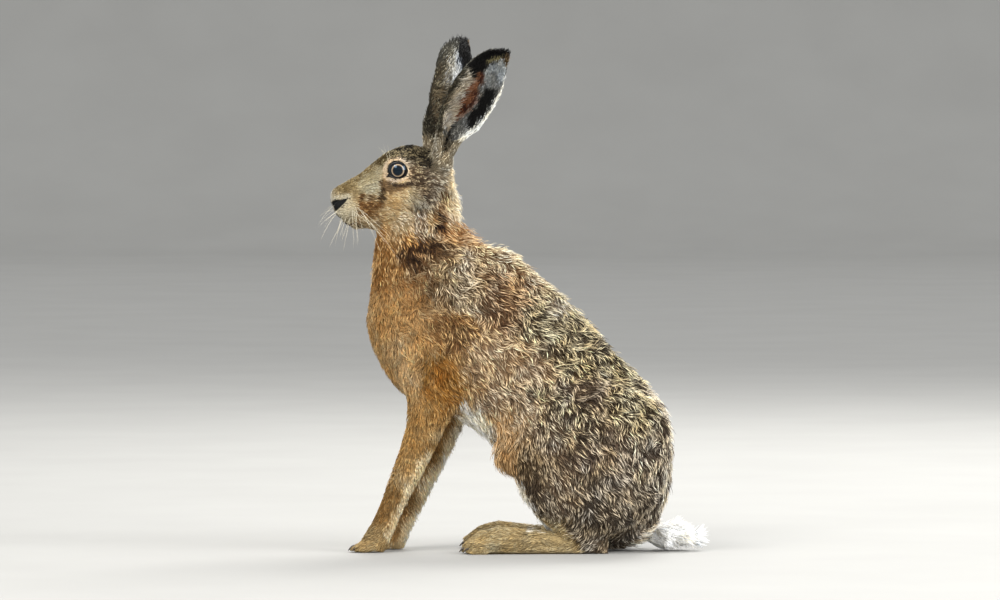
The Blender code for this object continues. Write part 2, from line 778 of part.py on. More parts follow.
def main():
    """Builds the hare."""
    clear_scene()
    whole = flesh()
    torso = thinned(whole, "torso", BODY_FACES)
    fine = thinned(whole, "fine", BODY_FACES * HEAD_DENSITY)
    bpy.data.objects.remove(whole)
    region = prism("region", HEAD_OUTLINE, -OUTER_Y, OUTER_Y)
    cut(torso, "DIFFERENCE", copy_of(region, "wider", grown=GAP_CUT))
    head = part_off(fine, "head", region)
    bpy.data.objects.remove(fine)
    part_off(torso, "neck", prism("region", NECK_OUTLINE, -OUTER_Y, OUTER_Y))
    for name, side in SIDES.items():
        leg = part_off(torso, "foreleg_" + name, side_prism(FORELEG_OUTLINE, LEG_INNER_Y, side))
        paw_outline = [(x + FORELEG_STEP_BACK[name] * (z > 0), z) for x, z in FOREPAW_OUTLINE]
        forepaw = part_off(leg, "forepaw_" + name, side_prism(paw_outline, LEG_INNER_Y, side))
        claws(forepaw, FORE_TOES, FORELEG_PATH[-1][1], FORELEG_STEP_BACK[name], side)
        hind_foot = part_off(torso, "hind_foot_" + name, side_prism(HIND_FOOT_OUTLINE, HAUNCH_INNER_Y, side))
        claws(hind_foot, HIND_TOES, HIND_FOOT_PATH[-1][1], 0, side)
        part_off(torso, "haunch_" + name, side_prism(haunch_outline(), HAUNCH_INNER_Y, side))
        groove(head, NOSTRIL_PATH, side)
    groove(head, PHILTRUM_PATH, RIGHT)
    groove(head, mouth_path(), RIGHT)
    for name, side in SIDES.items():
        eye(name, side, head)
        ear(name, side, head)
    tail([torso, bpy.data.objects["haunch_left"], bpy.data.objects["haunch_right"]])
    for obj in bpy.data.objects:
        finish(obj)


main()
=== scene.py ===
"""Looks of a brown hare that sits upright, life size: skin, coat, eyes, claws, whiskers, stage and camera.

Metres, +Z up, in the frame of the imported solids: the hare faces -X and its left side is at -Y. Tables and
arrays hold places and sizes in millimetres, and a mesh gets them in metres when it is made. One skin stands
for all the flesh, sunk by the depth of the coat, and tufts of solid mesh grow from it along the lie of the fur.
"""

from __future__ import annotations

import logging
import math
from dataclasses import dataclass
from enum import Enum

import bmesh
import bpy
import numpy as np
from mathutils import Matrix, Vector
from mathutils.bvhtree import BVHTree
from mathutils.kdtree import KDTree


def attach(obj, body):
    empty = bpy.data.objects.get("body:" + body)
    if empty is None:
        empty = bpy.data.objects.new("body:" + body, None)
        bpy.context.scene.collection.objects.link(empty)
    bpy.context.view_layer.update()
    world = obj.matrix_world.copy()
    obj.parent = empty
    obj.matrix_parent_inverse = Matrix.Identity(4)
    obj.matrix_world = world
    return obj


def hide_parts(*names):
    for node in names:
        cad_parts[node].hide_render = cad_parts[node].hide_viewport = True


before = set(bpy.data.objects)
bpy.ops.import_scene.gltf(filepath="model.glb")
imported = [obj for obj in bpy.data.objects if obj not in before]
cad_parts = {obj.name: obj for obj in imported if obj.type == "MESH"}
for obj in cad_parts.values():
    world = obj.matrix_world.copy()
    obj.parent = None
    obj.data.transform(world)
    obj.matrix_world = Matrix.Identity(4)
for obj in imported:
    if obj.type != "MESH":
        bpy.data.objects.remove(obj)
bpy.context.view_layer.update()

LOG = logging.getLogger("hare")
MM = 0.001
ROOT = "root"
COAT_COLOUR = "coat"
BAKE_MAP = "OFBake"
LEFT = -1.0
RIGHT = 1.0
SIDES = {"left": LEFT, "right": RIGHT}

Rgb = tuple[float, float, float]
Triple = tuple[float, float, float]


@dataclass(frozen=True)
class Tone:
    """The colours of a tuft of fur, as they look on a screen.

    Args:
        root: colour where the tuft leaves the skin.
        band: colour of its middle.
        tip: colour of its end.
        fleck: the share of tufts that stay dark to the end.
    """

    root: Rgb
    band: Rgb
    tip: Rgb
    fleck: float


class Fur(Enum):
    """The tones of the coat, named for where they grow."""

    BACK = Tone((0.41, 0.33, 0.21), (0.11, 0.08, 0.05), (1.00, 0.93, 0.75), 0.37)
    BACK_PALE = Tone((0.58, 0.46, 0.33), (0.34, 0.24, 0.15), (1.00, 0.95, 0.81), 0.25)
    BACK_WHITE = Tone((0.58, 0.52, 0.44), (0.40, 0.34, 0.28), (1.00, 0.96, 0.88), 0.22)
    RUMP = Tone((0.42, 0.35, 0.27), (0.17, 0.13, 0.10), (1.00, 0.94, 0.83), 0.37)
    RIBS = Tone((0.65, 0.54, 0.41), (0.44, 0.34, 0.24), (0.96, 0.87, 0.72), 0.29)
    SHOULDER = Tone((0.58, 0.47, 0.35), (0.30, 0.23, 0.15), (0.95, 0.87, 0.73), 0.31)
    SHOULDER_RUST = Tone((0.52, 0.38, 0.24), (0.26, 0.16, 0.09), (0.92, 0.77, 0.59), 0.42)
    CHEST = Tone((0.72, 0.57, 0.38), (0.63, 0.48, 0.29), (0.96, 0.82, 0.60), 0.33)
    THROAT = Tone((0.62, 0.45, 0.26), (0.48, 0.32, 0.15), (0.90, 0.74, 0.50), 0.36)
    ARMPIT = Tone((0.52, 0.34, 0.11), (0.47, 0.29, 0.07), (0.74, 0.54, 0.26), 0.30)
    FLANK = Tone((0.70, 0.59, 0.46), (0.57, 0.47, 0.34), (0.97, 0.88, 0.74), 0.25)
    FRINGE = Tone((0.62, 0.47, 0.30), (0.68, 0.53, 0.35), (0.84, 0.72, 0.55), 0.25)
    BELLY = Tone((1.00, 0.95, 0.86), (1.00, 0.96, 0.88), (1.00, 0.99, 0.94), 0.05)
    HAUNCH = Tone((0.43, 0.35, 0.27), (0.22, 0.17, 0.13), (0.92, 0.84, 0.72), 0.38)
    HAUNCH_PALE = Tone((0.52, 0.43, 0.33), (0.30, 0.23, 0.17), (0.92, 0.84, 0.71), 0.32)
    HAUNCH_LOW = Tone((0.42, 0.36, 0.29), (0.21, 0.17, 0.13), (0.84, 0.78, 0.68), 0.42)
    THIGH_FRONT = Tone((0.44, 0.35, 0.25), (0.28, 0.22, 0.15), (0.76, 0.67, 0.53), 0.36)
    FORELEG = Tone((0.68, 0.53, 0.32), (0.60, 0.45, 0.25), (0.91, 0.78, 0.54), 0.36)
    FORELEG_PALE = Tone((0.94, 0.82, 0.62), (0.98, 0.88, 0.70), (1.00, 0.98, 0.88), 0.10)
    FORELEG_LOW = Tone((0.54, 0.42, 0.25), (0.46, 0.33, 0.16), (0.86, 0.74, 0.52), 0.42)
    PAW = Tone((0.54, 0.45, 0.30), (0.60, 0.51, 0.35), (0.82, 0.75, 0.59), 0.45)
    HIND_FOOT = Tone((0.60, 0.52, 0.36), (0.64, 0.56, 0.40), (0.86, 0.80, 0.65), 0.40)
    NECK = Tone((0.50, 0.37, 0.23), (0.32, 0.21, 0.11), (0.97, 0.86, 0.68), 0.40)
    NECK_RUST = Tone((0.62, 0.45, 0.27), (0.52, 0.35, 0.19), (0.95, 0.82, 0.62), 0.34)
    NECK_DARK = Tone((0.22, 0.12, 0.05), (0.11, 0.06, 0.02), (0.68, 0.50, 0.31), 0.56)
    NAPE_BLACK = Tone((0.06, 0.03, 0.01), (0.04, 0.01, 0.01), (0.22, 0.11, 0.04), 0.30)
    PALE_FRINGE = Tone((0.80, 0.71, 0.55), (0.88, 0.80, 0.65), (1.00, 0.98, 0.90), 0.14)
    CROWN = Tone((0.20, 0.15, 0.08), (0.05, 0.04, 0.02), (0.82, 0.74, 0.57), 0.48)
    BRIDGE = Tone((0.48, 0.41, 0.27), (0.38, 0.31, 0.18), (0.80, 0.74, 0.58), 0.42)
    FOREHEAD = Tone((0.40, 0.34, 0.22), (0.22, 0.17, 0.08), (0.88, 0.82, 0.65), 0.42)
    TEMPLE = Tone((0.46, 0.39, 0.30), (0.26, 0.20, 0.14), (0.96, 0.90, 0.77), 0.38)
    TEMPLE_DARK = Tone((0.22, 0.16, 0.10), (0.12, 0.08, 0.05), (0.66, 0.57, 0.44), 0.45)
    CHEEK = Tone((0.71, 0.61, 0.45), (0.60, 0.50, 0.34), (0.98, 0.90, 0.76), 0.34)
    RUST_SPOT = Tone((0.42, 0.27, 0.11), (0.29, 0.16, 0.05), (0.82, 0.64, 0.38), 0.48)
    DARK_STREAK = Tone((0.20, 0.13, 0.07), (0.14, 0.09, 0.04), (0.50, 0.39, 0.24), 0.45)
    UNDER_EYE = Tone((0.06, 0.03, 0.01), (0.05, 0.02, 0.01), (0.26, 0.17, 0.09), 0.40)
    BROWN = Tone((0.36, 0.27, 0.17), (0.34, 0.25, 0.15), (0.56, 0.45, 0.31), 0.35)
    PALE_CHEEK = Tone((0.64, 0.60, 0.48), (0.62, 0.58, 0.46), (0.87, 0.84, 0.74), 0.38)
    MUZZLE = Tone((0.57, 0.51, 0.40), (0.55, 0.49, 0.37), (0.73, 0.68, 0.57), 0.28)
    LIP = Tone((0.68, 0.64, 0.54), (0.70, 0.66, 0.56), (0.86, 0.83, 0.75), 0.18)
    CHIN = Tone((0.64, 0.58, 0.47), (0.66, 0.60, 0.48), (0.84, 0.79, 0.69), 0.24)
    PHILTRUM = Tone((0.28, 0.27, 0.24), (0.26, 0.26, 0.23), (0.44, 0.43, 0.38), 0.30)
    # Black of the lid rims, and painted shade in the nostril openings.
    BLACK = Tone((0.01, 0.01, 0.01), (0.01, 0.01, 0.01), (0.02, 0.02, 0.01), 0.10)
    EYE_RING = Tone((0.76, 0.68, 0.56), (0.80, 0.71, 0.59), (0.89, 0.81, 0.70), 0.08)
    JAW_TUFT = Tone((0.42, 0.34, 0.26), (0.36, 0.29, 0.22), (0.95, 0.90, 0.82), 0.42)
    EAR_BASE = Tone((0.52, 0.48, 0.40), (0.40, 0.36, 0.29), (0.90, 0.87, 0.78), 0.36)
    EAR_DARK = Tone((0.20, 0.18, 0.13), (0.12, 0.11, 0.08), (0.50, 0.48, 0.40), 0.52)
    EAR_TICKED = Tone((0.28, 0.27, 0.23), (0.20, 0.19, 0.16), (0.64, 0.63, 0.57), 0.48)
    EAR_BROWN = Tone((0.30, 0.23, 0.13), (0.26, 0.19, 0.09), (0.66, 0.56, 0.40), 0.45)
    EAR_PALE = Tone((0.76, 0.77, 0.77), (0.66, 0.67, 0.68), (0.98, 1.00, 1.00), 0.22)
    EAR_GREY = Tone((0.38, 0.38, 0.36), (0.28, 0.28, 0.27), (0.78, 0.78, 0.75), 0.40)
    EAR_SILVER = Tone((0.58, 0.60, 0.60), (0.40, 0.42, 0.43), (0.98, 0.99, 0.98), 0.34)
    EAR_FRINGE = Tone((0.52, 0.47, 0.40), (0.60, 0.55, 0.47), (0.90, 0.87, 0.80), 0.26)
    EAR_BUFF = Tone((0.46, 0.43, 0.31), (0.50, 0.47, 0.33), (0.68, 0.65, 0.49), 0.32)
    EAR_SKIN = Tone((0.50, 0.33, 0.22), (0.44, 0.27, 0.17), (0.66, 0.49, 0.37), 0.34)
    EAR_SKIN_DARK = Tone((0.18, 0.07, 0.04), (0.12, 0.04, 0.01), (0.36, 0.19, 0.12), 0.40)
    EAR_RIDGE = Tone((0.50, 0.41, 0.37), (0.52, 0.43, 0.38), (0.66, 0.57, 0.51), 0.20)
    # Black of the ear tips, and painted shade in the slit and the deep root of the ear's hollow.
    EAR_BLACK_AND_SHADE = Tone((0.01, 0.01, 0.01), (0.01, 0.01, 0.01), (0.05, 0.04, 0.03), 0.30)
    EAR_RIM = Tone((0.84, 0.83, 0.78), (0.90, 0.89, 0.84), (0.97, 0.97, 0.94), 0.10)
    TAIL = Tone((0.98, 0.97, 0.93), (1.00, 0.99, 0.96), (1.00, 1.00, 0.98), 0.04)
    CHEST_PALE = Tone((0.82, 0.68, 0.50), (0.76, 0.62, 0.43), (0.99, 0.88, 0.70), 0.25)
    # Painted shade on the inner faces of the forelegs and along the seam between them.
    LEG_PAINTED_SHADE = Tone((0.48, 0.34, 0.17), (0.46, 0.32, 0.15), (0.66, 0.51, 0.30), 0.32)
    EAR_SLATE = Tone((0.10, 0.12, 0.14), (0.08, 0.10, 0.13), (0.26, 0.30, 0.34), 0.35)
    PALE_LIP = Tone((0.78, 0.76, 0.70), (0.80, 0.78, 0.73), (0.94, 0.93, 0.89), 0.12)
    SHOULDER_OCHRE = Tone((0.58, 0.43, 0.26), (0.34, 0.22, 0.11), (0.90, 0.74, 0.50), 0.34)
    TAIL_TOP = Tone((0.86, 0.83, 0.78), (0.58, 0.53, 0.49), (0.98, 0.97, 0.93), 0.24)


@dataclass(frozen=True)
class Guide:
    """How the coat lies and looks at one place of the right side; both sides are alike.

    Args:
        place: x, y and z in millimetres.
        lie: the way that the tips point.
        length: length of a tuft in millimetres.
        lift: how steeply a tuft leaves the skin, from 0, flat, to 1, upright.
        spacing: distance between tufts in millimetres.
        width: width of a tuft in millimetres.
        curl: how far tufts bend sideways, from 0 to 1.
        clump: size in millimetres of the locks that tufts gather into.
        tone: colours there.
    """

    place: Triple
    lie: Triple
    length: float
    lift: float
    spacing: float
    width: float
    curl: float
    clump: float
    tone: Fur


# The guides run from the nose back over the head, down the neck and trunk, and out to the feet and tail.
GUIDES = [
    Guide((-187, 2, 355), (0.5, 0.2, 0.8), 2.6, 0.22, 0.95, 0.75, 0.1, 3, Fur.MUZZLE),
    Guide((-176, 6, 366), (0.9, 0.1, 0.4), 3.4, 0.20, 1.00, 0.8, 0.1, 3, Fur.BRIDGE),
    Guide((-160, 6, 377), (0.85, 0.05, 0.5), 4.6, 0.20, 1.10, 0.85, 0.15, 3, Fur.BRIDGE),
    Guide((-150, 16, 368), (0.95, 0.1, 0.2), 5.0, 0.20, 1.10, 0.85, 0.2, 3, Fur.PALE_CHEEK),
    Guide((-138, 10, 394), (0.85, 0.0, 0.5), 5.4, 0.22, 1.15, 0.85, 0.25, 3.5, Fur.FOREHEAD),
    Guide((-120, 8, 404), (0.95, 0.0, 0.2), 6.5, 0.28, 1.2, 0.95, 0.5, 4, Fur.CROWN),
    Guide((-100, 10, 405), (0.9, 0.1, 0.0), 7.5, 0.32, 1.25, 1.0, 0.6, 4, Fur.CROWN),
    Guide((-100, 24, 395), (0.8, 0.1, -0.3), 7.0, 0.28, 1.25, 1.0, 0.6, 4, Fur.CROWN),
    Guide((-172, 14, 346), (0.95, 0.25, -0.1), 3.4, 0.20, 1.00, 0.8, 0.1, 3, Fur.MUZZLE),
    Guide((-178, 6, 334), (0.6, 0.4, -0.7), 3.0, 0.22, 1.00, 0.75, 0.1, 3, Fur.MUZZLE),
    Guide((-158, 18, 338), (0.95, 0.1, -0.2), 5.0, 0.20, 1.05, 0.85, 0.15, 3, Fur.CHEEK),
    Guide((-163, 3, 322), (0.85, 0.0, -0.5), 5.5, 0.30, 1.1, 0.85, 0.2, 3, Fur.CHIN),
    Guide((-148, 4, 318), (0.85, 0.0, -0.5), 7.0, 0.28, 1.2, 0.9, 0.2, 4, Fur.CHEEK),
    Guide((-138, 6, 314), (0.85, 0.0, -0.5), 8.0, 0.28, 1.25, 1.0, 0.3, 4, Fur.THROAT),
    Guide((-142, 22, 350), (0.95, 0.1, -0.15), 5.5, 0.20, 1.1, 0.85, 0.2, 3, Fur.CHEEK),
    Guide((-120, 28, 352), (0.95, 0.05, -0.25), 6.5, 0.20, 1.15, 0.95, 0.25, 4, Fur.CHEEK),
    Guide((-118, 24, 332), (0.85, 0.0, -0.5), 8.0, 0.24, 1.25, 1.0, 0.3, 4, Fur.CHEEK),
    Guide((-98, 28, 350), (0.85, 0.0, -0.5), 8.5, 0.24, 1.25, 1.0, 0.5, 4, Fur.TEMPLE),
    Guide((-98, 26, 374), (0.9, 0.0, -0.3), 5.0, 0.20, 1.15, 0.9, 0.35, 3.5, Fur.TEMPLE),
    Guide((-134, 19, 386), (0.5, 0.0, 0.8), 2.4, 0.16, 0.95, 0.75, 0.1, 3, Fur.FOREHEAD),
    Guide((-119, 20, 397), (0.9, 0.0, 0.3), 3.0, 0.18, 1.0, 0.8, 0.2, 3, Fur.CROWN),
    Guide((-104, 24, 385), (0.9, 0.0, -0.2), 3.0, 0.16, 1.0, 0.8, 0.2, 3, Fur.TEMPLE),
    Guide((-118, 26, 367), (0.9, 0.0, -0.3), 2.4, 0.16, 0.95, 0.75, 0.1, 3, Fur.CHEEK),
    Guide((-134, 22, 372), (0.8, 0.1, -0.4), 2.6, 0.16, 0.95, 0.75, 0.1, 3, Fur.CHEEK),
    Guide((-98, 28, 328), (0.5, 0.3, -0.8), 10, 0.38, 1.3, 1.05, 0.8, 4.5, Fur.CHEEK),
    Guide((-86, 24, 388), (0.3, 0.1, 0.95), 5.5, 0.18, 1.15, 0.9, 0.2, 3.5, Fur.EAR_BASE),
    Guide((-84, 24, 366), (0.8, 0.1, -0.6), 9, 0.28, 1.3, 1.0, 0.5, 5, Fur.TEMPLE),
    Guide((-74, 16, 384), (0.75, 0.1, 0.35), 6.5, 0.28, 1.25, 0.95, 0.4, 4, Fur.EAR_BASE),
    Guide((-62, 5, 372), (0.80, 0.1, -0.35), 13, 0.62, 1.35, 1.0, 0.9, 4.5, Fur.PALE_FRINGE),
    Guide((-64, 15, 370), (0.80, 0.1, -0.50), 11, 0.45, 1.35, 1.0, 0.8, 4.5, Fur.PALE_FRINGE),
    Guide((-66, 6, 388), (0.80, 0.1, -0.10), 9, 0.50, 1.35, 1.0, 0.8, 4, Fur.PALE_FRINGE),
    Guide((-58, 5, 347), (0.80, 0.1, -0.45), 14, 0.62, 1.40, 1.05, 0.9, 5, Fur.PALE_FRINGE),
    Guide((-60, 15, 344), (0.70, 0.1, -0.60), 11, 0.45, 1.40, 1.05, 0.9, 5, Fur.PALE_FRINGE),
    Guide((-56, 6, 322), (0.80, 0.1, -0.55), 12, 0.70, 1.45, 1.05, 0.8, 5, Fur.NECK_RUST),
    Guide((-74, 22, 352), (0.5, 0.0, -0.85), 11, 0.30, 1.4, 1.1, 0.6, 5, Fur.NECK),
    Guide((-70, 24, 328), (0.4, 0.0, -0.9), 12, 0.28, 1.5, 1.15, 0.5, 6, Fur.NECK_RUST),
    Guide((-105, 27, 318), (0.4, 0.0, -0.9), 11, 0.24, 1.5, 1.15, 0.5, 6, Fur.THROAT),
    Guide((-100, 30, 296), (0.4, 0.0, -0.9), 14, 0.28, 1.6, 1.3, 0.7, 6, Fur.NECK),
    Guide((-143, 8, 305), (0.15, 0.0, -1.0), 11, 0.24, 1.6, 1.2, 0.3, 6, Fur.THROAT),
    Guide((-130, 24, 285), (0.25, 0.0, -0.97), 12, 0.24, 1.6, 1.3, 0.4, 6, Fur.THROAT),
    Guide((-62, 32, 298), (0.5, 0.0, -0.85), 15, 0.30, 1.7, 1.4, 0.85, 6, Fur.SHOULDER),
    Guide((-25, 18, 305), (0.8, 0.0, -0.5), 15, 0.34, 1.75, 1.4, 0.9, 6, Fur.BACK_PALE),
    Guide((5, 22, 292), (0.8, 0.0, -0.6), 15, 0.32, 1.75, 1.4, 0.9, 6, Fur.BACK_PALE),
    Guide((-50, 42, 262), (0.55, 0.0, -0.83), 15, 0.28, 1.75, 1.4, 0.85, 6, Fur.SHOULDER),
    Guide((-18, 46, 262), (0.6, 0.0, -0.8), 15, 0.30, 1.75, 1.4, 0.9, 6, Fur.SHOULDER),
    Guide((-60, 46, 225), (0.5, 0.0, -0.86), 14, 0.26, 1.75, 1.4, 0.7, 7, Fur.SHOULDER_OCHRE),
    Guide((-150, 6, 232), (0.15, 0.0, -1.0), 13, 0.22, 1.65, 1.3, 0.3, 7, Fur.CHEST),
    Guide((-128, 32, 245), (0.3, 0.0, -0.95), 13, 0.22, 1.65, 1.3, 0.35, 7, Fur.CHEST),
    Guide((-112, 38, 212), (0.2, 0.0, -0.98), 13, 0.22, 1.65, 1.3, 0.35, 7, Fur.CHEST),
    Guide((-122, 10, 178), (0.4, 0.0, -0.9), 13, 0.26, 1.65, 1.3, 0.3, 7, Fur.CHEST),
    Guide((-85, 42, 185), (0.2, 0.0, -0.98), 12, 0.22, 1.65, 1.3, 0.35, 7, Fur.CHEST),
    Guide((-70, 36, 162), (0.45, 0.0, -0.9), 13, 0.24, 1.7, 1.3, 0.35, 7, Fur.CHEST),
    Guide((-35, 50, 210), (0.65, 0.0, -0.75), 15, 0.24, 1.75, 1.4, 0.65, 7, Fur.RIBS),
    Guide((-30, 46, 165), (0.7, 0.0, -0.7), 15, 0.24, 1.75, 1.4, 0.6, 7, Fur.RIBS),
    Guide((15, 50, 240), (0.7, 0.0, -0.72), 15, 0.30, 1.8, 1.4, 0.9, 6, Fur.BACK),
    Guide((55, 30, 238), (0.72, 0.0, -0.7), 16, 0.30, 1.8, 1.4, 0.95, 6, Fur.BACK),
    Guide((100, 25, 195), (0.65, 0.0, -0.76), 16, 0.30, 1.8, 1.4, 0.95, 6, Fur.BACK),
    Guide((60, 55, 200), (0.7, 0.0, -0.7), 16, 0.29, 1.8, 1.4, 0.9, 6, Fur.BACK),
    Guide((10, 54, 195), (0.7, 0.0, -0.7), 15, 0.26, 1.8, 1.4, 0.75, 7, Fur.RIBS),
    Guide((0, 56, 150), (0.65, 0.0, -0.76), 15, 0.25, 1.75, 1.4, 0.55, 7, Fur.FLANK),
    Guide((-8, 48, 105), (0.1, 0.1, -1.0), 18, 0.30, 1.6, 1.3, 0.4, 6, Fur.FRINGE),
    Guide((-46, 8, 128), (0.85, 0.0, -0.5), 13, 0.30, 1.7, 1.3, 0.3, 7, Fur.BELLY),
    Guide((-20, 12, 100), (0.75, 0.0, -0.65), 14, 0.32, 1.7, 1.3, 0.3, 7, Fur.BELLY),
    Guide((30, 12, 50), (0.7, 0.0, -0.7), 12, 0.28, 1.8, 1.4, 0.3, 7, Fur.BELLY),
    Guide((142, 18, 148), (0.3, 0.0, -0.95), 16, 0.29, 1.8, 1.4, 0.9, 6, Fur.RUMP),
    Guide((154, 14, 90), (0.1, 0.0, -1.0), 15, 0.27, 1.8, 1.4, 0.75, 6, Fur.RUMP),
    Guide((60, 70, 172), (0.62, 0.0, -0.78), 15, 0.28, 1.8, 1.4, 0.85, 6, Fur.HAUNCH),
    Guide((110, 66, 160), (0.5, 0.0, -0.86), 16, 0.28, 1.8, 1.4, 0.9, 6, Fur.BACK),
    Guide((75, 84, 115), (0.5, 0.0, -0.86), 14, 0.26, 1.8, 1.4, 0.7, 6, Fur.HAUNCH),
    Guide((20, 76, 135), (0.5, 0.0, -0.86), 13, 0.25, 1.75, 1.4, 0.55, 7, Fur.HAUNCH_PALE),
    Guide((140, 60, 100), (0.3, 0.0, -0.95), 15, 0.27, 1.8, 1.4, 0.75, 6, Fur.RUMP),
    Guide((0, 68, 95), (0.35, 0.0, -0.93), 11, 0.22, 1.65, 1.35, 0.35, 7, Fur.THIGH_FRONT),
    Guide((28, 72, 60), (0.45, 0.0, -0.9), 11, 0.22, 1.65, 1.35, 0.4, 7, Fur.HAUNCH_LOW),
    Guide((75, 76, 55), (0.5, 0.0, -0.86), 13, 0.24, 1.75, 1.4, 0.55, 7, Fur.HAUNCH_LOW),
    Guide((120, 60, 35), (0.4, 0.0, -0.9), 13, 0.24, 1.8, 1.4, 0.55, 7, Fur.HAUNCH_LOW),
    Guide((60, 24, 60), (0.5, 0.0, -0.85), 9, 0.24, 2.0, 1.5, 0.3, 7, Fur.BELLY),
    Guide((-92, 34, 150), (0.0, 0.0, -1.0), 9, 0.20, 1.6, 1.2, 0.25, 6, Fur.FORELEG),
    Guide((-108, 26, 105), (-0.3, 0.0, -0.95), 6.5, 0.18, 1.55, 1.15, 0.2, 5, Fur.FORELEG),
    Guide((-86, 26, 100), (0.25, 0.0, -0.95), 8.5, 0.45, 1.45, 1.05, 0.3, 5, Fur.FORELEG),
    Guide((-69, 26, 100), (0.45, 0.0, -0.85), 9.0, 0.60, 1.40, 1.05, 0.4, 4, Fur.FORELEG_PALE),
    Guide((-80, 24, 84), (0.45, 0.0, -0.85), 9.5, 0.62, 1.30, 1.05, 0.4, 4, Fur.FORELEG_PALE),
    Guide((-84, 20, 70), (0.45, 0.0, -0.85), 9.5, 0.62, 1.30, 1.05, 0.4, 4, Fur.FORELEG_PALE),
    Guide((-135, 24, 48), (-0.35, 0.0, -0.93), 5.0, 0.18, 1.45, 1.05, 0.2, 4, Fur.FORELEG_LOW),
    Guide((-110, 24, 50), (0.25, 0.0, -0.95), 7.5, 0.42, 1.40, 1.0, 0.3, 4, Fur.FORELEG_LOW),
    Guide((-92, 26, 54), (0.45, 0.0, -0.85), 9.0, 0.60, 1.30, 1.0, 0.4, 4, Fur.FORELEG_PALE),
    Guide((-97, 20, 42), (0.45, 0.0, -0.85), 9.0, 0.60, 1.30, 1.0, 0.4, 4, Fur.FORELEG_PALE),
    Guide((-104, 24, 28), (0.40, 0.0, -0.85), 7.0, 0.50, 1.40, 1.0, 0.4, 4, Fur.FORELEG_PALE),
    Guide((-148, 24, 14), (-0.9, 0.0, -0.4), 4.5, 0.24, 1.35, 1.0, 0.25, 4, Fur.PAW),
    Guide((90, 46, 22), (-0.7, 0.0, -0.5), 8, 0.24, 1.65, 1.2, 0.35, 5, Fur.HIND_FOOT),
    Guide((124, 10, 12), (1.0, 0.0, -0.1), 20, 0.30, 1.45, 1.4, 0.3, 8, Fur.TAIL),
    Guide((40, 46, 22), (-1.0, 0.0, -0.05), 6.5, 0.22, 1.55, 1.15, 0.35, 5, Fur.HIND_FOOT),
    Guide((-20, 48, 24), (-1.0, 0.0, -0.15), 5.5, 0.22, 1.5, 1.1, 0.3, 4, Fur.HIND_FOOT),
    Guide((-50, 48, 10), (-0.9, 0.0, -0.5), 5.0, 0.24, 1.4, 1.0, 0.3, 4, Fur.HIND_FOOT),
    Guide((126, 4, 32), (1.0, 0.0, -0.35), 20, 0.10, 1.5, 1.3, 0.2, 6, Fur.TAIL_TOP),
    Guide((148, 16, 54), (0.2, 0.0, -1.0), 13, 0.25, 1.7, 1.3, 0.5, 6, Fur.RUMP),
    Guide((134, 30, 40), (0.3, 0.0, -0.95), 12, 0.24, 1.7, 1.3, 0.5, 6, Fur.HAUNCH_LOW),
    Guide((145, 8, 22), (1.0, 0.0, -0.30), 20, 0.12, 1.45, 1.4, 0.15, 8, Fur.TAIL),
    Guide((170, 4, 14), (1.0, 0.0, -0.30), 18, 0.10, 1.45, 1.4, 0.15, 8, Fur.TAIL),
]
GUIDE_REACH = 9.0
GUIDE_POWER = 3.5


def smooth_step(value: np.ndarray, start: float, end: float) -> np.ndarray:
    """0 up to start, 1 from end on, with a smooth climb between them."""
    share = np.clip((value - start) / (end - start), 0.0, 1.0)
    return share * share * (3.0 - 2.0 * share)


def unit(vectors: np.ndarray) -> np.ndarray:
    """The same directions with a length of one."""
    lengths = np.linalg.norm(vectors, axis=-1, keepdims=True)
    return vectors / np.maximum(lengths, 1e-9)


def blend(base: np.ndarray, over: np.ndarray, share: np.ndarray) -> np.ndarray:
    """Rows of one array passing into another's by a share from 0 to 1 for each row."""
    return base + (over - base) * share[:, None]


def to_linear(colours: np.ndarray) -> np.ndarray:
    """Colours as a screen shows them, turned into amounts of light."""
    clipped = np.clip(colours, 0.0, 1.0)
    return np.where(clipped <= 0.04045, clipped / 12.92, ((clipped + 0.055) / 1.055) ** 2.4)


def tone_row(tone: Tone) -> np.ndarray:
    """A tone as one row: root, band and tip colours, and the fleck."""
    return np.array([*tone.root, *tone.band, *tone.tip, tone.fleck])


class Sway:
    """An uneven number over space, from about -1 to 1, made of crossed waves."""

    WAVES = 9

    def __init__(self, size: float, seed: int) -> None:
        draw = np.random.default_rng(seed)
        self.ways = unit(draw.normal(0, 1, (self.WAVES, 3)))
        self.ways *= math.tau / (size * draw.uniform(0.7, 1.6, (self.WAVES, 1)))
        self.starts = draw.uniform(0, math.tau, self.WAVES)

    def at(self, places: np.ndarray) -> np.ndarray:
        """The number at each place in millimetres."""
        return np.sin(places @ self.ways.T + self.starts).sum(axis=1) / math.sqrt(self.WAVES)


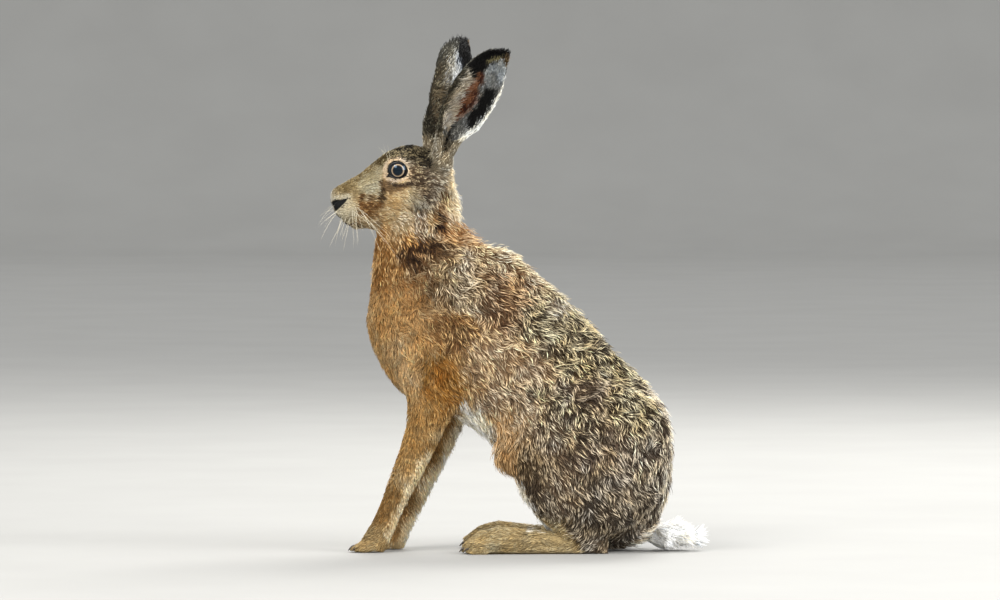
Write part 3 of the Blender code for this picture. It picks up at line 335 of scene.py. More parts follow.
@dataclass(frozen=True)
class Outline:
    """A closed outline of a patch of tone.

    Args:
        corners: its corners, in millimetres.
        soft: width of its soft edge.
        uneven: how far its edge wanders.
    """

    corners: tuple[tuple[float, float], ...]
    soft: float = 2.0
    uneven: float = 0.8

    def cover(self, first: np.ndarray, second: np.ndarray, sway: np.ndarray) -> np.ndarray:
        """How fully the outline covers places, from 0 to 1.

        Args:
            first: the places' first measure.
            second: their second measure.
            sway: an uneven number at each.

        Returns:
            A share for each place.
        """
        corners = np.array(self.corners, float)
        margin = self.soft + 2 * self.uneven
        near = (first > corners[:, 0].min() - margin) & (first < corners[:, 0].max() + margin)
        near &= (second > corners[:, 1].min() - margin) & (second < corners[:, 1].max() + margin)
        across, along = first[near], second[near]
        nearest = np.full(len(across), np.inf)
        inside = np.zeros(len(across), bool)
        for start, end in zip(corners, np.roll(corners, -1, axis=0)):
            step = end - start
            offset = np.column_stack([across - start[0], along - start[1]])
            share = np.clip(offset @ step / (step @ step), 0, 1)
            nearest = np.minimum(nearest, np.linalg.norm(offset - share[:, None] * step, axis=1))
            level = start[0] + (along - start[1]) * step[0] / (step[1] if step[1] else 1e-9)
            inside ^= ((start[1] > along) != (end[1] > along)) & (across < level)
        depth = np.where(inside, nearest, -nearest) + self.uneven * sway[near]
        covers = np.zeros(len(first))
        covers[near] = smooth_step(depth, -self.soft / 2, self.soft / 2)
        return covers


@dataclass(frozen=True)
class Mark:
    """A patch of another tone, drawn in the side view and alike on both sides.

    Args:
        tone: its colours.
        outline: its corners as x and z.
        strength: how fully it covers what lies under it.
        beside: how far from the middle plane it starts and ends, in millimetres.
        bare: whether no tufts grow there.
    """

    tone: Fur
    outline: Outline
    strength: float = 1.0
    beside: tuple[float, float] = (-1.0, 500.0)
    bare: bool = False


MARKS = [
    # Trunk and legs.
    Mark(Fur.SHOULDER_RUST, Outline(((-40, 285), (-8, 283), (12, 262), (6, 232), (-18, 222), (-34, 240)), 16, 7), 0.75),
    Mark(Fur.BACK_WHITE, Outline(((18, 254), (36, 256), (44, 244), (34, 234), (18, 240)), 8, 4), 0.75),
    Mark(Fur.BACK, Outline(((-2, 246), (16, 250), (34, 232), (30, 216), (8, 222), (-6, 234)), 10, 5), 0.8),
    Mark(Fur.BACK, Outline(((10, 216), (40, 212), (64, 190), (60, 172), (34, 184), (12, 200)), 12, 6), 0.7),
    Mark(Fur.RIBS, Outline(((-54, 210), (-16, 208), (-8, 180), (-26, 166), (-52, 178)), 14, 6), 0.6),
    Mark(Fur.CHEST_PALE, Outline(((-130, 212), (-108, 216), (-96, 196), (-94, 160), (-106, 150), (-126, 178)), 16, 5), 0.8),
    Mark(Fur.ARMPIT, Outline(((-94, 200), (-74, 202), (-60, 182), (-64, 154), (-80, 146), (-94, 168)), 20, 6), 0.85),
    Mark(
        Fur.FORELEG_PALE,
        Outline(
            (
                (-92, 106),
                (-82, 104),
                (-84, 96),
                (-95, 76),
                (-106, 52),
                (-115, 31),
                (-122, 12),
                (-132, 12),
                (-127, 31),
                (-120, 52),
                (-110, 76),
                (-97, 100),
            ),
            5,
            1.5,
        ),
        0.95,
        (24, 500),
    ),
    # Painted shade on the inner faces of the forelegs, which face each other, darkest along the seam where the far leg
    # shows behind the near one.
    Mark(
        Fur.LEG_PAINTED_SHADE,
        Outline(
            (
                (-88, 150),
                (-64, 148),
                (-68, 128),
                (-80, 100),
                (-96, 76),
                (-107, 52),
                (-116, 31),
                (-122, 10),
                (-134, 10),
                (-116, 52),
                (-104, 76),
                (-92, 100),
            ),
            4,
            1,
        ),
        0.75,
        (-1, 23),
    ),
    Mark(Fur.HAUNCH_PALE, Outline(((-16, 172), (14, 174), (34, 160), (20, 146), (-8, 150)), 12, 5), 0.7),
    # Painted shade: a dark diagonal line in the crease at the upper front of the haunch.
    Mark(Fur.BACK, Outline(((0, 172), (16, 174), (70, 146), (66, 136), (40, 144), (10, 160)), 6, 4), 0.85),
    # Painted shade: a thin dark line along the front edge of the haunch, where it meets the flank.
    Mark(Fur.NECK_DARK, Outline(((-12, 118), (-7, 117), (1, 86), (10, 58), (18, 38), (12, 38), (2, 58), (-7, 88)), 3, 1.5), 0.5),
    Mark(Fur.HAUNCH_PALE, Outline(((34, 90), (52, 96), (60, 70), (50, 40), (34, 44), (26, 70)), 16, 6), 0.8),
    Mark(Fur.BACK, Outline(((8, 150), (40, 150), (84, 140), (86, 116), (60, 112), (22, 124)), 14, 6), 0.4),
    Mark(Fur.BELLY, Outline(((-64, 152), (-59, 157), (-40, 146), (-25, 128), (-16, 98), (-34, 96), (-58, 128)), 5, 2.5)),
    # The far foreleg's rear edge: partly its own pale fringe, partly painted light, made as white as the belly so that
    # its shaded edge looks lit.
    Mark(
        Fur.BELLY,
        Outline(((-71, 98), (-60, 98), (-72, 74), (-82, 50), (-92, 28), (-100, 8), (-114, 8), (-107, 31), (-98, 52), (-87, 76), (-76, 98)), 3, 1.5),
        0.9,
    ),
    Mark(Fur.BELLY, Outline(((-4, 84), (4, 82), (18, 40), (28, 22), (14, 22), (-2, 50)), 5, 2), 0.9, (-1, 60)),
    Mark(
        Fur.HAUNCH_LOW,
        Outline(((46, 36), (54, 22), (66, 10), (72, -4), (96, -4), (104, 8), (120, 20), (142, 31), (136, 46), (70, 46)), 4, 2),
        0.95,
    ),
    Mark(Fur.FRINGE, Outline(((-24, 140), (-10, 146), (-6, 110), (-4, 76), (-24, 74), (-28, 110)), 6, 3), 0.9),
    # Neck.
    Mark(
        Fur.NECK_DARK,
        Outline(
            ((-120, 300), (-114, 311), (-103, 317), (-88, 321), (-76, 316), (-78, 304), (-92, 300), (-106, 286)),
            7,
            5,
        ),
        0.72,
    ),
    Mark(Fur.NAPE_BLACK, Outline(((-82, 341), (-77, 338), (-76, 329), (-81, 322), (-86, 320), (-85, 330)), 3, 1.5), 0.95),
    # Head.
    Mark(Fur.CROWN, Outline(((-116, 401), (-104, 403), (-86, 392), (-90, 382), (-100, 384), (-106, 394)), 4, 2), 0.9),
    Mark(Fur.TEMPLE_DARK, Outline(((-106, 380), (-95, 381), (-90, 366), (-88, 350), (-93, 345), (-99, 358), (-106, 368)), 6, 3), 0.5),
    Mark(Fur.PALE_CHEEK, Outline(((-116, 362), (-104, 364), (-97, 355), (-98, 346), (-108, 347), (-116, 352)), 6, 2), 0.55),
    Mark(
        Fur.JAW_TUFT,
        Outline(((-107, 341), (-98, 343), (-90, 336), (-90, 325), (-94, 319), (-99, 312), (-103, 320), (-103, 330)), 4, 2),
        0.9,
    ),
    Mark(Fur.DARK_STREAK, Outline(((-108, 346), (-97, 347), (-96, 343), (-107, 343)), 2.5, 1), 0.7),
    Mark(
        Fur.PALE_CHEEK,
        Outline(((-164, 366), (-157, 373), (-148, 379), (-138, 387), (-134, 384), (-138, 358), (-150, 357), (-160, 362)), 5, 2),
        0.8,
    ),
    Mark(Fur.BROWN, Outline(((-137, 371), (-131, 372), (-126, 367), (-113, 367), (-113, 363), (-128, 360), (-137, 361)), 3, 1), 0.8),
    Mark(Fur.RUST_SPOT, Outline(((-161, 349), (-155, 354), (-141, 353), (-137.5, 345), (-146, 335), (-160, 334)), 9, 5), 0.8),
    Mark(Fur.DARK_STREAK, Outline(((-139, 370), (-135.5, 370), (-134, 360), (-134, 351), (-137.5, 350), (-139, 358)), 2.5, 1.2), 0.75),
    Mark(Fur.DARK_STREAK, Outline(((-160, 352), (-152, 355), (-139, 355), (-139, 352.5), (-152, 352)), 1.6, 1), 0.55),
    Mark(
        Fur.LIP,
        Outline(((-187, 352), (-183, 356), (-172, 356.5), (-166, 354), (-161, 347), (-163, 337), (-168, 330), (-180, 330)), 4, 1),
        0.85,
    ),
    Mark(
        Fur.PALE_LIP,
        Outline(((-194, 360), (-186, 357), (-185.5, 350), (-183.5, 343), (-180, 335), (-174, 327), (-178, 322), (-194, 330)), 2.5, 0.5),
        0.7,
    ),
    Mark(
        Fur.DARK_STREAK,
        Outline(((-175, 331), (-171, 328), (-168.5, 327.4), (-166, 328.4), (-163, 330), (-159, 329.6), (-159, 327.6), (-163, 327.8), (-166, 326), (-168.5, 324.8), (-171, 325.4), (-175, 329)), 0.8, 0),
        0.9,
        bare=True,
    ),
    Mark(Fur.PHILTRUM, Outline(((-182, 341), (-178, 338.5), (-175, 334), (-177, 331), (-181, 331), (-184, 337)), 2, 0.5), 0.9, (-1, 9)),
    Mark(Fur.PHILTRUM, Outline(((-192, 352), (-180, 352), (-180, 330), (-192, 330)), 1, 0), 0.8, (-1, 1.4)),
    Mark(
        Fur.EYE_RING,
        Outline(
            (
                (-136, 380),
                (-133.5, 387.5),
                (-127, 391.8),
                (-118.5, 393.3),
                (-112.5, 391),
                (-109, 386.5),
                (-108, 381),
                (-109, 374.5),
                (-113.5, 370.6),
                (-121, 369.3),
                (-128, 370.3),
                (-135, 373),
            ),
            1.2,
            0.3,
        ),
    ),
    Mark(Fur.UNDER_EYE, Outline(((-131, 369.6), (-122, 367.8), (-112, 369.2), (-107, 373), (-108, 367.5), (-115, 364), (-126, 365)), 1.8, 1.2), 0.8),
    Mark(
        Fur.BLACK,
        Outline(
            (
                (-129.8, 382.5),
                (-127.3, 386.2),
                (-123.5, 388.3),
                (-119, 389),
                (-114, 387.6),
                (-110.3, 384.3),
                (-109.4, 380),
                (-111.3, 375.2),
                (-117, 372.7),
                (-123, 372.6),
                (-128, 374.2),
                (-132.5, 373.8),
                (-130.4, 378),
            ),
            0.8,
            0.0,
        ),
        1.0,
        bare=True,
    ),
    # Painted shade: the nostril openings, black and bare of tufts.
    Mark(
        Fur.BLACK,
        Outline(((-186.5, 348), (-185, 350.6), (-181, 351.6), (-176, 351.4), (-169.3, 353.8), (-172, 349), (-177, 344.4), (-181.6, 340.3)), 0.8, 0.0),
        1.0,
        (1.8, 500),
        True,
    ),
]


class EarFace(Enum):
    """The face of an ear that a mark lies on."""

    INNER = 1.0
    OUTER = 0.0
    BOTH = 0.5


EAR_BREADTH = 22.0


@dataclass(frozen=True)
class EarMark:
    """A patch of tone on both ears, in the ear's own frame.

    Args:
        tone: its colours.
        face: the face that it lies on.
        corners: how far each corner lies across, from -1 at the front margin to 1 at the rear one,
            and how far along from the root, in millimetres.
        soft: width of its soft edge in millimetres.
        uneven: how far its edge wanders.
        strength: how fully it covers what lies under it.
    """

    tone: Fur
    face: EarFace
    corners: tuple[tuple[float, float], ...]
    soft: float = 3.0
    uneven: float = 1.2
    strength: float = 1.0

    def cover(self, across: np.ndarray, along: np.ndarray, sway: np.ndarray) -> np.ndarray:
        """How fully it covers places in the ear's frame, from 0 to 1."""
        corners = tuple((first * EAR_BREADTH, second) for first, second in self.corners)
        return self.strength * Outline(corners, self.soft, self.uneven).cover(across * EAR_BREADTH, along, sway)


def band(start: float, end: float) -> tuple[tuple[float, float], ...]:
    """The corners of a band over the whole breadth of an ear."""
    return ((-3, start), (3, start), (3, end), (-3, end))


EAR_MARKS = [
    EarMark(Fur.EAR_BASE, EarFace.BOTH, band(-60, 30), 14),
    EarMark(Fur.EAR_TICKED, EarFace.OUTER, band(26, 200), 16),
    EarMark(Fur.EAR_DARK, EarFace.OUTER, ((-3, 20), (-0.5, 22), (-0.6, 60), (-0.8, 80), (-3, 84)), 10, 3),
    EarMark(Fur.EAR_BROWN, EarFace.OUTER, ((-0.7, 18), (-0.2, 22), (-0.4, 50), (-0.85, 62), (-0.9, 40)), 10, 4, 0.25),
    EarMark(Fur.EAR_PALE, EarFace.OUTER, ((-0.62, 112), (-0.62, 96), (-0.70, 70), (-0.45, 50), (3, 40), (3, 110)), 8, 2),
    EarMark(Fur.EAR_SLATE, EarFace.OUTER, ((-0.52, 200), (-0.44, 114), (-0.24, 100), (0.05, 90), (3, 86), (3, 200)), 8, 2.5, 0.85),
    EarMark(Fur.EAR_BLACK_AND_SHADE, EarFace.OUTER, ((-0.53, 200), (-0.45, 114), (-0.27, 104), (0.0, 96), (3, 93), (3, 200)), 5, 1.5),
    EarMark(Fur.EAR_BLACK_AND_SHADE, EarFace.OUTER, band(123.5, 200), 4, 1.5),
    EarMark(Fur.EAR_GREY, EarFace.INNER, band(20, 200), 6),
    EarMark(Fur.EAR_FRINGE, EarFace.INNER, ((-3, 22), (-0.1, 26), (-0.2, 40), (-0.36, 56), (-0.5, 80), (-0.72, 93), (-3, 95)), 4, 1.5),
    EarMark(
        Fur.EAR_SILVER,
        EarFace.INNER,
        ((-0.2, 102), (-0.08, 112), (0.3, 119), (0.6, 121), (1.1, 110), (0.95, 94), (0.45, 84), (0.1, 86)),
        5,
    ),
    EarMark(
        Fur.EAR_SKIN,
        EarFace.INNER,
        ((-0.56, 88), (-0.30, 97), (0.04, 92), (0.2, 74), (0.26, 60), (0.17, 48), (-0.14, 34), (-0.40, 44), (-0.50, 64)),
        3,
    ),
    EarMark(
        Fur.EAR_SKIN_DARK,
        EarFace.INNER,
        ((-0.2, 97), (0.04, 92), (0.22, 74), (0.3, 60), (0.18, 48), (0.04, 50), (0.12, 60), (0.1, 74), (-0.08, 86)),
        3,
        1.5,
        0.85,
    ),
    EarMark(Fur.EAR_SKIN_DARK, EarFace.INNER, ((-0.05, 58), (0.1, 56), (0.08, 48), (-0.06, 44), (-0.14, 50)), 3, 1.5, 0.8),
    EarMark(
        Fur.EAR_BLACK_AND_SHADE,
        EarFace.INNER,
        ((0.84, 89), (0.46, 85), (0.34, 72), (0.40, 62), (0.40, 52), (0.38, 43), (0.72, 38), (0.92, 48), (0.93, 61), (0.91, 76)),
        4,
        2.0,
    ),
    EarMark(Fur.EAR_GREY, EarFace.INNER, ((0.2, 96), (0.5, 102), (0.88, 98), (0.88, 88), (0.5, 86), (0.2, 82)), 7, 2.5, 0.7),
    EarMark(
        Fur.EAR_RIDGE,
        EarFace.INNER,
        ((-0.2, 36), (0.17, 46), (0.33, 56), (0.36, 66), (0.3, 75), (0.25, 74), (0.28, 64), (0.25, 57), (0.12, 49), (-0.2, 39)),
        1.2,
        0.4,
    ),
    EarMark(
        Fur.EAR_BLACK_AND_SHADE,
        EarFace.INNER,
        (
            (-3, 90),
            (-0.82, 88),
            (-0.6, 82),
            (-0.44, 86),
            (-0.28, 93),
            (-0.04, 98),
            (0.04, 107),
            (0.34, 115),
            (0.7, 119),
            (0.92, 117),
            (3, 118),
            (3, 200),
            (-3, 200),
        ),
        3.0,
        1.5,
    ),
    EarMark(Fur.EAR_BUFF, EarFace.INNER, ((-0.3, 107), (-0.1, 114), (0.3, 120), (0.5, 118), (0.1, 111), (-0.15, 105)), 2.5, 1.0, 0.85),
    EarMark(Fur.EAR_BROWN, EarFace.BOTH, ((0.45, 121), (0.7, 125), (1.3, 122), (1.3, 114), (0.9, 115), (0.7, 119)), 3.0, 1.5, 0.8),
    # Painted shadow in the slit where the ear's edges meet near its root.
    EarMark(Fur.EAR_BLACK_AND_SHADE, EarFace.BOTH, ((-0.10, 34), (0.03, 33), (0.10, 18), (0.04, 4), (-0.05, 4), (-0.07, 20)), 1.2, 0.3),
    # Painted shade deep in the hollow at the root of the ear.
    EarMark(Fur.EAR_BLACK_AND_SHADE, EarFace.INNER, band(-30, 2), 5),
    EarMark(
        Fur.EAR_RIM,
        EarFace.BOTH,
        ((0.76, 26), (0.84, 40), (0.93, 50), (0.95, 64), (0.94, 77), (0.93, 88), (0.96, 98), (1.0, 106), (3, 106), (3, 22)),
        1.4,
        0.5,
    ),
    EarMark(Fur.EAR_DARK, EarFace.BOTH, ((-3, 26), (-0.95, 28), (-0.93, 60), (-0.9, 92), (-3, 96)), 3),
    EarMark(Fur.EAR_BLACK_AND_SHADE, EarFace.BOTH, band(124.5, 200), 2),
]

# How the short fur of the ears grows: length, lift, spacing, width, curl and clump size, as in a guide.
EAR_OUTER_GROWTH = (5.0, 0.18, 1.42, 1.0, 0.35, 3.0)
EAR_INNER_GROWTH = (4.2, 0.14, 1.42, 0.9, 0.2, 3.0)
EAR_FRINGE_GROWTH = (11.0, 0.34, 1.2, 0.8, 0.3, 3.5)
EAR_TIP_GROWTH = (5.5, 0.28, 1.3, 0.8, 0.6, 2.5)
EAR_FRINGE_ACROSS = (-1.0, -0.45)
EAR_FRINGE_ALONG = (26.0, 92.0)
EAR_FRINGE_TURN = 0.75
EAR_BARE_BELOW = 12.0
EAR_START = (-10.0, 6.0)
EAR_RAGGED = (108.0, 122.0)
EAR_ROOM = 9.0
EAR_TIP_STRETCH = (84.0, 116.0)

# One ear in its own frame, as in the solids: how far along from the root, how far the middle lies behind
# the straight axis, half the width, and the angle that the wall spans.
EAR_ROWS = np.array(
    [
        (-10, -2.0, 10.0, 335),
        (2, -2.0, 10.6, 333),
        (14, -4.0, 11.6, 326),
        (24, -6.2, 12.8, 300),
        (33, -6.8, 15.5, 244),
        (44, -6.2, 20.0, 196),
        (57, -6.9, 22.5, 172),
        (72, -7.8, 23.4, 154),
        (86, -7.9, 22.6, 140),
        (98, -8.4, 20.3, 130),
        (109, -8.8, 16.6, 120),
        (118, -8.0, 12.0, 112),
        (124, -5.2, 7.4, 104),
        (127.5, -2.0, 3.2, 95),
    ]
)


@dataclass(frozen=True)
class Ear:
    """How one ear stands.

    Args:
        side: LEFT or RIGHT.
        root: its root in millimetres.
        tip: its tip in millimetres.
        faces: the way that its hollow faces.
        breadth: how much broader its tip is than in the rows.
    """

    side: float
    root: Triple
    tip: Triple
    faces: Triple
    breadth: float

    def axes(self) -> tuple[np.ndarray, np.ndarray, np.ndarray]:
        """The ear's directions: along to the tip, out of the hollow, and across to the rear."""
        along = unit(np.array(self.tip, float) - np.array(self.root, float))
        faces = np.array(self.faces, float)
        faces = unit(faces - along * (faces @ along))
        return along, faces, np.cross(along, faces) * -self.side

    def shape(self, distance: np.ndarray) -> tuple[np.ndarray, np.ndarray, np.ndarray]:
        """Where the middle lies, half the width and half the wall's angle, at distances from the root."""
        middle, half_width, span = (np.interp(distance, EAR_ROWS[:, 0], EAR_ROWS[:, i]) for i in (1, 2, 3))
        low, high = EAR_TIP_STRETCH
        half_width = half_width * (1 + (self.breadth - 1) * np.clip((distance - low) / (high - low), 0, 1))
        return middle, half_width, np.radians(span) / 2

    def local(self, places: np.ndarray) -> tuple[np.ndarray, np.ndarray, np.ndarray]:
        """Places in the ear's frame.

        Args:
            places: rows of x, y and z in millimetres.

        Returns:
            How far along each is, where it lies across from -1 to 1, and its distance from the axis
            less the ear's half width there.
        """
        along, _, across = self.axes()
        offset = places - np.array(self.root, float)
        distance = offset @ along
        middle, half_width, _ = self.shape(distance)
        sideways = offset @ across - middle
        away = offset - distance[:, None] * along - middle[:, None] * across
        return distance, sideways / half_width, np.linalg.norm(away, axis=1) - half_width

    def holds(self, places: np.ndarray, start: tuple[float, float]) -> np.ndarray:
        """How far each place is part of this ear, from 0 to 1.

        Args:
            places: rows of x, y and z in millimetres.
            start: how far along the ear it starts to count, and where it counts in full.

        Returns:
            A share for each place.
        """
        distance, _, away = self.local(places)
        share = smooth_step(distance, *start) * (1.0 - smooth_step(away, EAR_ROOM - 4, EAR_ROOM))
        return share * smooth_step(places[:, 1] * self.side, -3, 3)

    def inside(self, places: np.ndarray, normals: np.ndarray) -> np.ndarray:
        """How far each place is on the inner face of the ear, from 0 to 1."""
        along, faces, across = self.axes()
        distance = (places - np.array(self.root, float)) @ along
        middle, half_width, half_span = self.shape(distance)
        radius = half_width / np.maximum(np.sin(np.minimum(half_span, math.pi / 2)), 0.1)
        centre = np.array(self.root, float) + distance[:, None] * along + middle[:, None] * across
        centre = centre + faces * (radius * np.maximum(0.0, np.cos(half_span)))[:, None]
        towards = np.einsum("ij,ij->i", unit(centre - places), normals)
        return smooth_step(towards, -0.25, 0.25)


EARS = [
    Ear(LEFT, (-77, -16, 391), (-10, -33, 496), (0.12, -0.99, 0.0), 1.0),
    Ear(RIGHT, (-84, 18.5, 388), (-55, 28, 504), (-0.74, 0.67, 0.0), 1.4),
]


@dataclass
class Growth:
    """What the coat is like at many places of the skin, one row for each.

    Args:
        lie: the way that the tips point.
        sizes: length, lift, spacing, width, curl and clump size.
        tones: root, band and tip colours, and the fleck.
        bare: how bare the skin is, from 0 to 1.
    """

    lie: np.ndarray
    sizes: np.ndarray
    tones: np.ndarray
    bare: np.ndarray

    @property
    def height(self) -> np.ndarray:
        """How far the tips stand over the skin, in millimetres."""
        return self.sizes[:, 0] * self.sizes[:, 1]

    def only(self, chosen: np.ndarray) -> Growth:
        """The same for some of the places."""
        return Growth(self.lie[chosen], self.sizes[chosen], self.tones[chosen], self.bare[chosen])


class Pattern:
    """How the coat lies and looks over the whole hare."""

    CHUNK = 20000
    TONE_SHARPNESS = 1.8
    EDGE_SWAY = Sway(9.0, 3)
    BESIDE_SOFT = 1.2

    def __init__(self) -> None:
        self.places = np.array([guide.place for guide in GUIDES], float)
        self.lies = unit(np.array([guide.lie for guide in GUIDES], float))
        self.sizes = np.array(
            [(g.length, g.lift, g.spacing, g.width, g.curl, g.clump) for g in GUIDES], float
        )
        self.tones = np.array([tone_row(guide.tone.value) for guide in GUIDES])

    def at(self, places: np.ndarray, normals: np.ndarray) -> Growth:
        """The coat at many places.

        Args:
            places: rows of x, y and z in millimetres.
            normals: the skin's outward direction at each.

        Returns:
            The growth of the coat there.
        """
        chunks = [
            self._body(places[start : start + self.CHUNK]) for start in range(0, len(places), self.CHUNK)
        ]
        lie, sizes, tones = (np.concatenate(parts) for parts in zip(*chunks))
        bare = np.zeros(len(places))
        sway = self.EDGE_SWAY.at(places)
        beside = np.abs(places[:, 1])
        for mark in MARKS:
            share = mark.outline.cover(places[:, 0], places[:, 2], sway) * mark.strength
            share *= smooth_step(beside - mark.beside[0], -self.BESIDE_SOFT / 2, self.BESIDE_SOFT / 2)
            share *= 1.0 - smooth_step(beside - mark.beside[1], -self.BESIDE_SOFT / 2, self.BESIDE_SOFT / 2)
            tones = blend(tones, tone_row(mark.tone.value), share)
            if mark.bare:
                bare = np.maximum(bare, share)
        growth = Growth(lie, sizes, tones, bare)
        for ear in EARS:
            self._grow_ear(ear, places, normals, growth, sway)
        return growth

    def _body(self, places: np.ndarray) -> tuple[np.ndarray, np.ndarray, np.ndarray]:
        """Lie, sizes and tones from the guides, for the skin without the ears."""
        side = np.where(places[:, 1:2] < 0, -1.0, 1.0)
        right_hand = np.concatenate([places[:, :1], np.abs(places[:, 1:2]), places[:, 2:]], axis=1)
        squares = ((right_hand[:, None, :] - self.places[None]) ** 2).sum(axis=2)
        weights = (squares + GUIDE_REACH**2) ** (-GUIDE_POWER / 2)
        weights /= weights.sum(axis=1, keepdims=True)
        sharp = weights**self.TONE_SHARPNESS
        sharp /= sharp.sum(axis=1, keepdims=True)
        lie = weights @ self.lies
        lie[:, 1:2] *= side
        return lie, weights @ self.sizes, sharp @ self.tones

    @staticmethod
    def _grow_ear(ear: Ear, places: np.ndarray, normals: np.ndarray, growth: Growth, sway: np.ndarray) -> None:
        """Gives the places on one ear the ear's own short fur and marks."""
        distance, across, _ = ear.local(places)
        share = ear.holds(places, EAR_START)
        chosen = share > 0
        distance, across, share, sway = distance[chosen], across[chosen], share[chosen], sway[chosen]
        inner = ear.inside(places[chosen], normals[chosen])
        along, _, rearward = ear.axes()
        tones = growth.tones[chosen]
        for mark in EAR_MARKS:
            cover = mark.cover(across, distance, sway)
            face = {EarFace.INNER: inner, EarFace.OUTER: 1.0 - inner, EarFace.BOTH: 1.0}[mark.face]
            tones = blend(tones, tone_row(mark.tone.value), cover * face)
        sizes = blend(
            np.tile(np.array(EAR_OUTER_GROWTH), (len(tones), 1)), np.array(EAR_INNER_GROWTH), inner
        )
        fringe = smooth_step(across, EAR_FRINGE_ACROSS[0] - 0.1, EAR_FRINGE_ACROSS[0])
        fringe *= 1.0 - smooth_step(across, EAR_FRINGE_ACROSS[1], EAR_FRINGE_ACROSS[1] + 0.2)
        fringe *= smooth_step(distance, EAR_FRINGE_ALONG[0] - 8, EAR_FRINGE_ALONG[0] + 8)
        fringe *= 1.0 - smooth_step(distance, EAR_FRINGE_ALONG[1] - 10, EAR_FRINGE_ALONG[1] + 4)
        fringe *= inner
        sizes = blend(sizes, np.array(EAR_FRINGE_GROWTH), fringe)
        sizes = blend(sizes, np.array(EAR_TIP_GROWTH), smooth_step(distance, *EAR_RAGGED))
        lie = along + rearward * (fringe * EAR_FRINGE_TURN)[:, None]
        deep = inner * (1.0 - smooth_step(distance, EAR_BARE_BELOW - 4, EAR_BARE_BELOW + 4))
        growth.lie[chosen] = blend(growth.lie[chosen], lie, share)
        growth.sizes[chosen] = blend(growth.sizes[chosen], sizes, share)
        growth.tones[chosen] = blend(growth.tones[chosen], tones, share)
        growth.bare[chosen] = np.maximum(growth.bare[chosen] * (1.0 - share), deep * share)


def add_object(name: str, mesh: bpy.types.Mesh) -> bpy.types.Object:
    """Puts a mesh in the scene as an object at the origin."""
    obj = bpy.data.objects.new(name, mesh)
    bpy.context.scene.collection.objects.link(obj)
    return obj


def add_modifier(obj: bpy.types.Object, kind: str, **settings: object) -> None:
    """Adds a modifier with these settings."""
    modifier = obj.modifiers.new(kind.lower(), kind)
    for name, value in settings.items():
        setattr(modifier, name, value)


def settle(obj: bpy.types.Object) -> None:
    """Applies the object's modifiers to its mesh."""
    graph = bpy.context.evaluated_depsgraph_get()
    mesh = bpy.data.meshes.new_from_object(obj.evaluated_get(graph))
    obj.modifiers.clear()
    obj.data = mesh


def read_places(mesh: bpy.types.Mesh) -> np.ndarray:
    """The places of a mesh's points, in millimetres."""
    values = np.empty(len(mesh.vertices) * 3, np.float32)
    mesh.vertices.foreach_get("co", values)
    return values.reshape(-1, 3).astype(float) / MM


def write_places(mesh: bpy.types.Mesh, places: np.ndarray) -> None:
    """Moves a mesh's points to places in millimetres."""
    mesh.vertices.foreach_set("co", (places * MM).astype(np.float32).ravel())
    mesh.update()


def read_normals(mesh: bpy.types.Mesh) -> np.ndarray:
    """The outward direction at each point of a mesh."""
    values = np.empty(len(mesh.vertices) * 3, np.float32)
    mesh.vertex_normals.foreach_get("vector", values)
    return unit(values.reshape(-1, 3).astype(float))


def write_colours(mesh: bpy.types.Mesh, name: str, colours: np.ndarray) -> None:
    """Stores a colour at each point of a mesh."""
    attribute = mesh.color_attributes.new(name, "FLOAT_COLOR", "POINT")
    values = np.concatenate([colours, np.ones((len(colours), 1))], axis=1)
    attribute.data.foreach_set("color", values.astype(np.float32).ravel())


def write_numbers(mesh: bpy.types.Mesh, name: str, numbers: np.ndarray) -> None:
    """Stores a number at each point of a mesh."""
    attribute = mesh.attributes.new(name, "FLOAT", "POINT")
    attribute.data.foreach_set("value", numbers.astype(np.float32))


def mesh_of(name: str, places: np.ndarray, faces: np.ndarray, smooth: bool = True) -> bpy.types.Mesh:
    """A mesh of triangles.

    Args:
        name: name of the mesh.
        places: rows of x, y and z in millimetres.
        faces: rows of three point numbers.
        smooth: whether it is shaded smooth.

    Returns:
        The mesh.
    """
    mesh = bpy.data.meshes.new(name)
    mesh.vertices.add(len(places))
    mesh.loops.add(faces.size)
    mesh.polygons.add(len(faces))
    mesh.vertices.foreach_set("co", (places * MM).astype(np.float32).ravel())
    mesh.loops.foreach_set("vertex_index", faces.astype(np.int32).ravel())
    mesh.polygons.foreach_set("loop_start", np.arange(0, faces.size, 3, dtype=np.int32))
    mesh.polygons.foreach_set("use_smooth", np.full(len(faces), smooth))
    mesh.update(calc_edges=True)
    return mesh


def strand_faces(count: int, rings: int, sides: int) -> np.ndarray:
    """The triangles of many alike strands, each of some rings of points and one point at its tip.

    Args:
        count: number of strands.
        rings: rings of points in one, without the tip.
        sides: points in a ring.

    Returns:
        Rows of three point numbers.
    """
    faces = [(0, index + 1, index) for index in range(1, sides - 1)]
    for ring in range(rings - 1):
        for index in range(sides):
            here = ring * sides + index
            beside = ring * sides + (index + 1) % sides
            faces += [(here, beside, beside + sides), (here, beside + sides, here + sides)]
    top = rings * sides
    last = top - sides
    faces += [(last + index, last + (index + 1) % sides, top) for index in range(sides)]
    starts = np.arange(count) * (top + 1)
    return (np.array(faces)[None] + starts[:, None, None]).reshape(-1, 3)


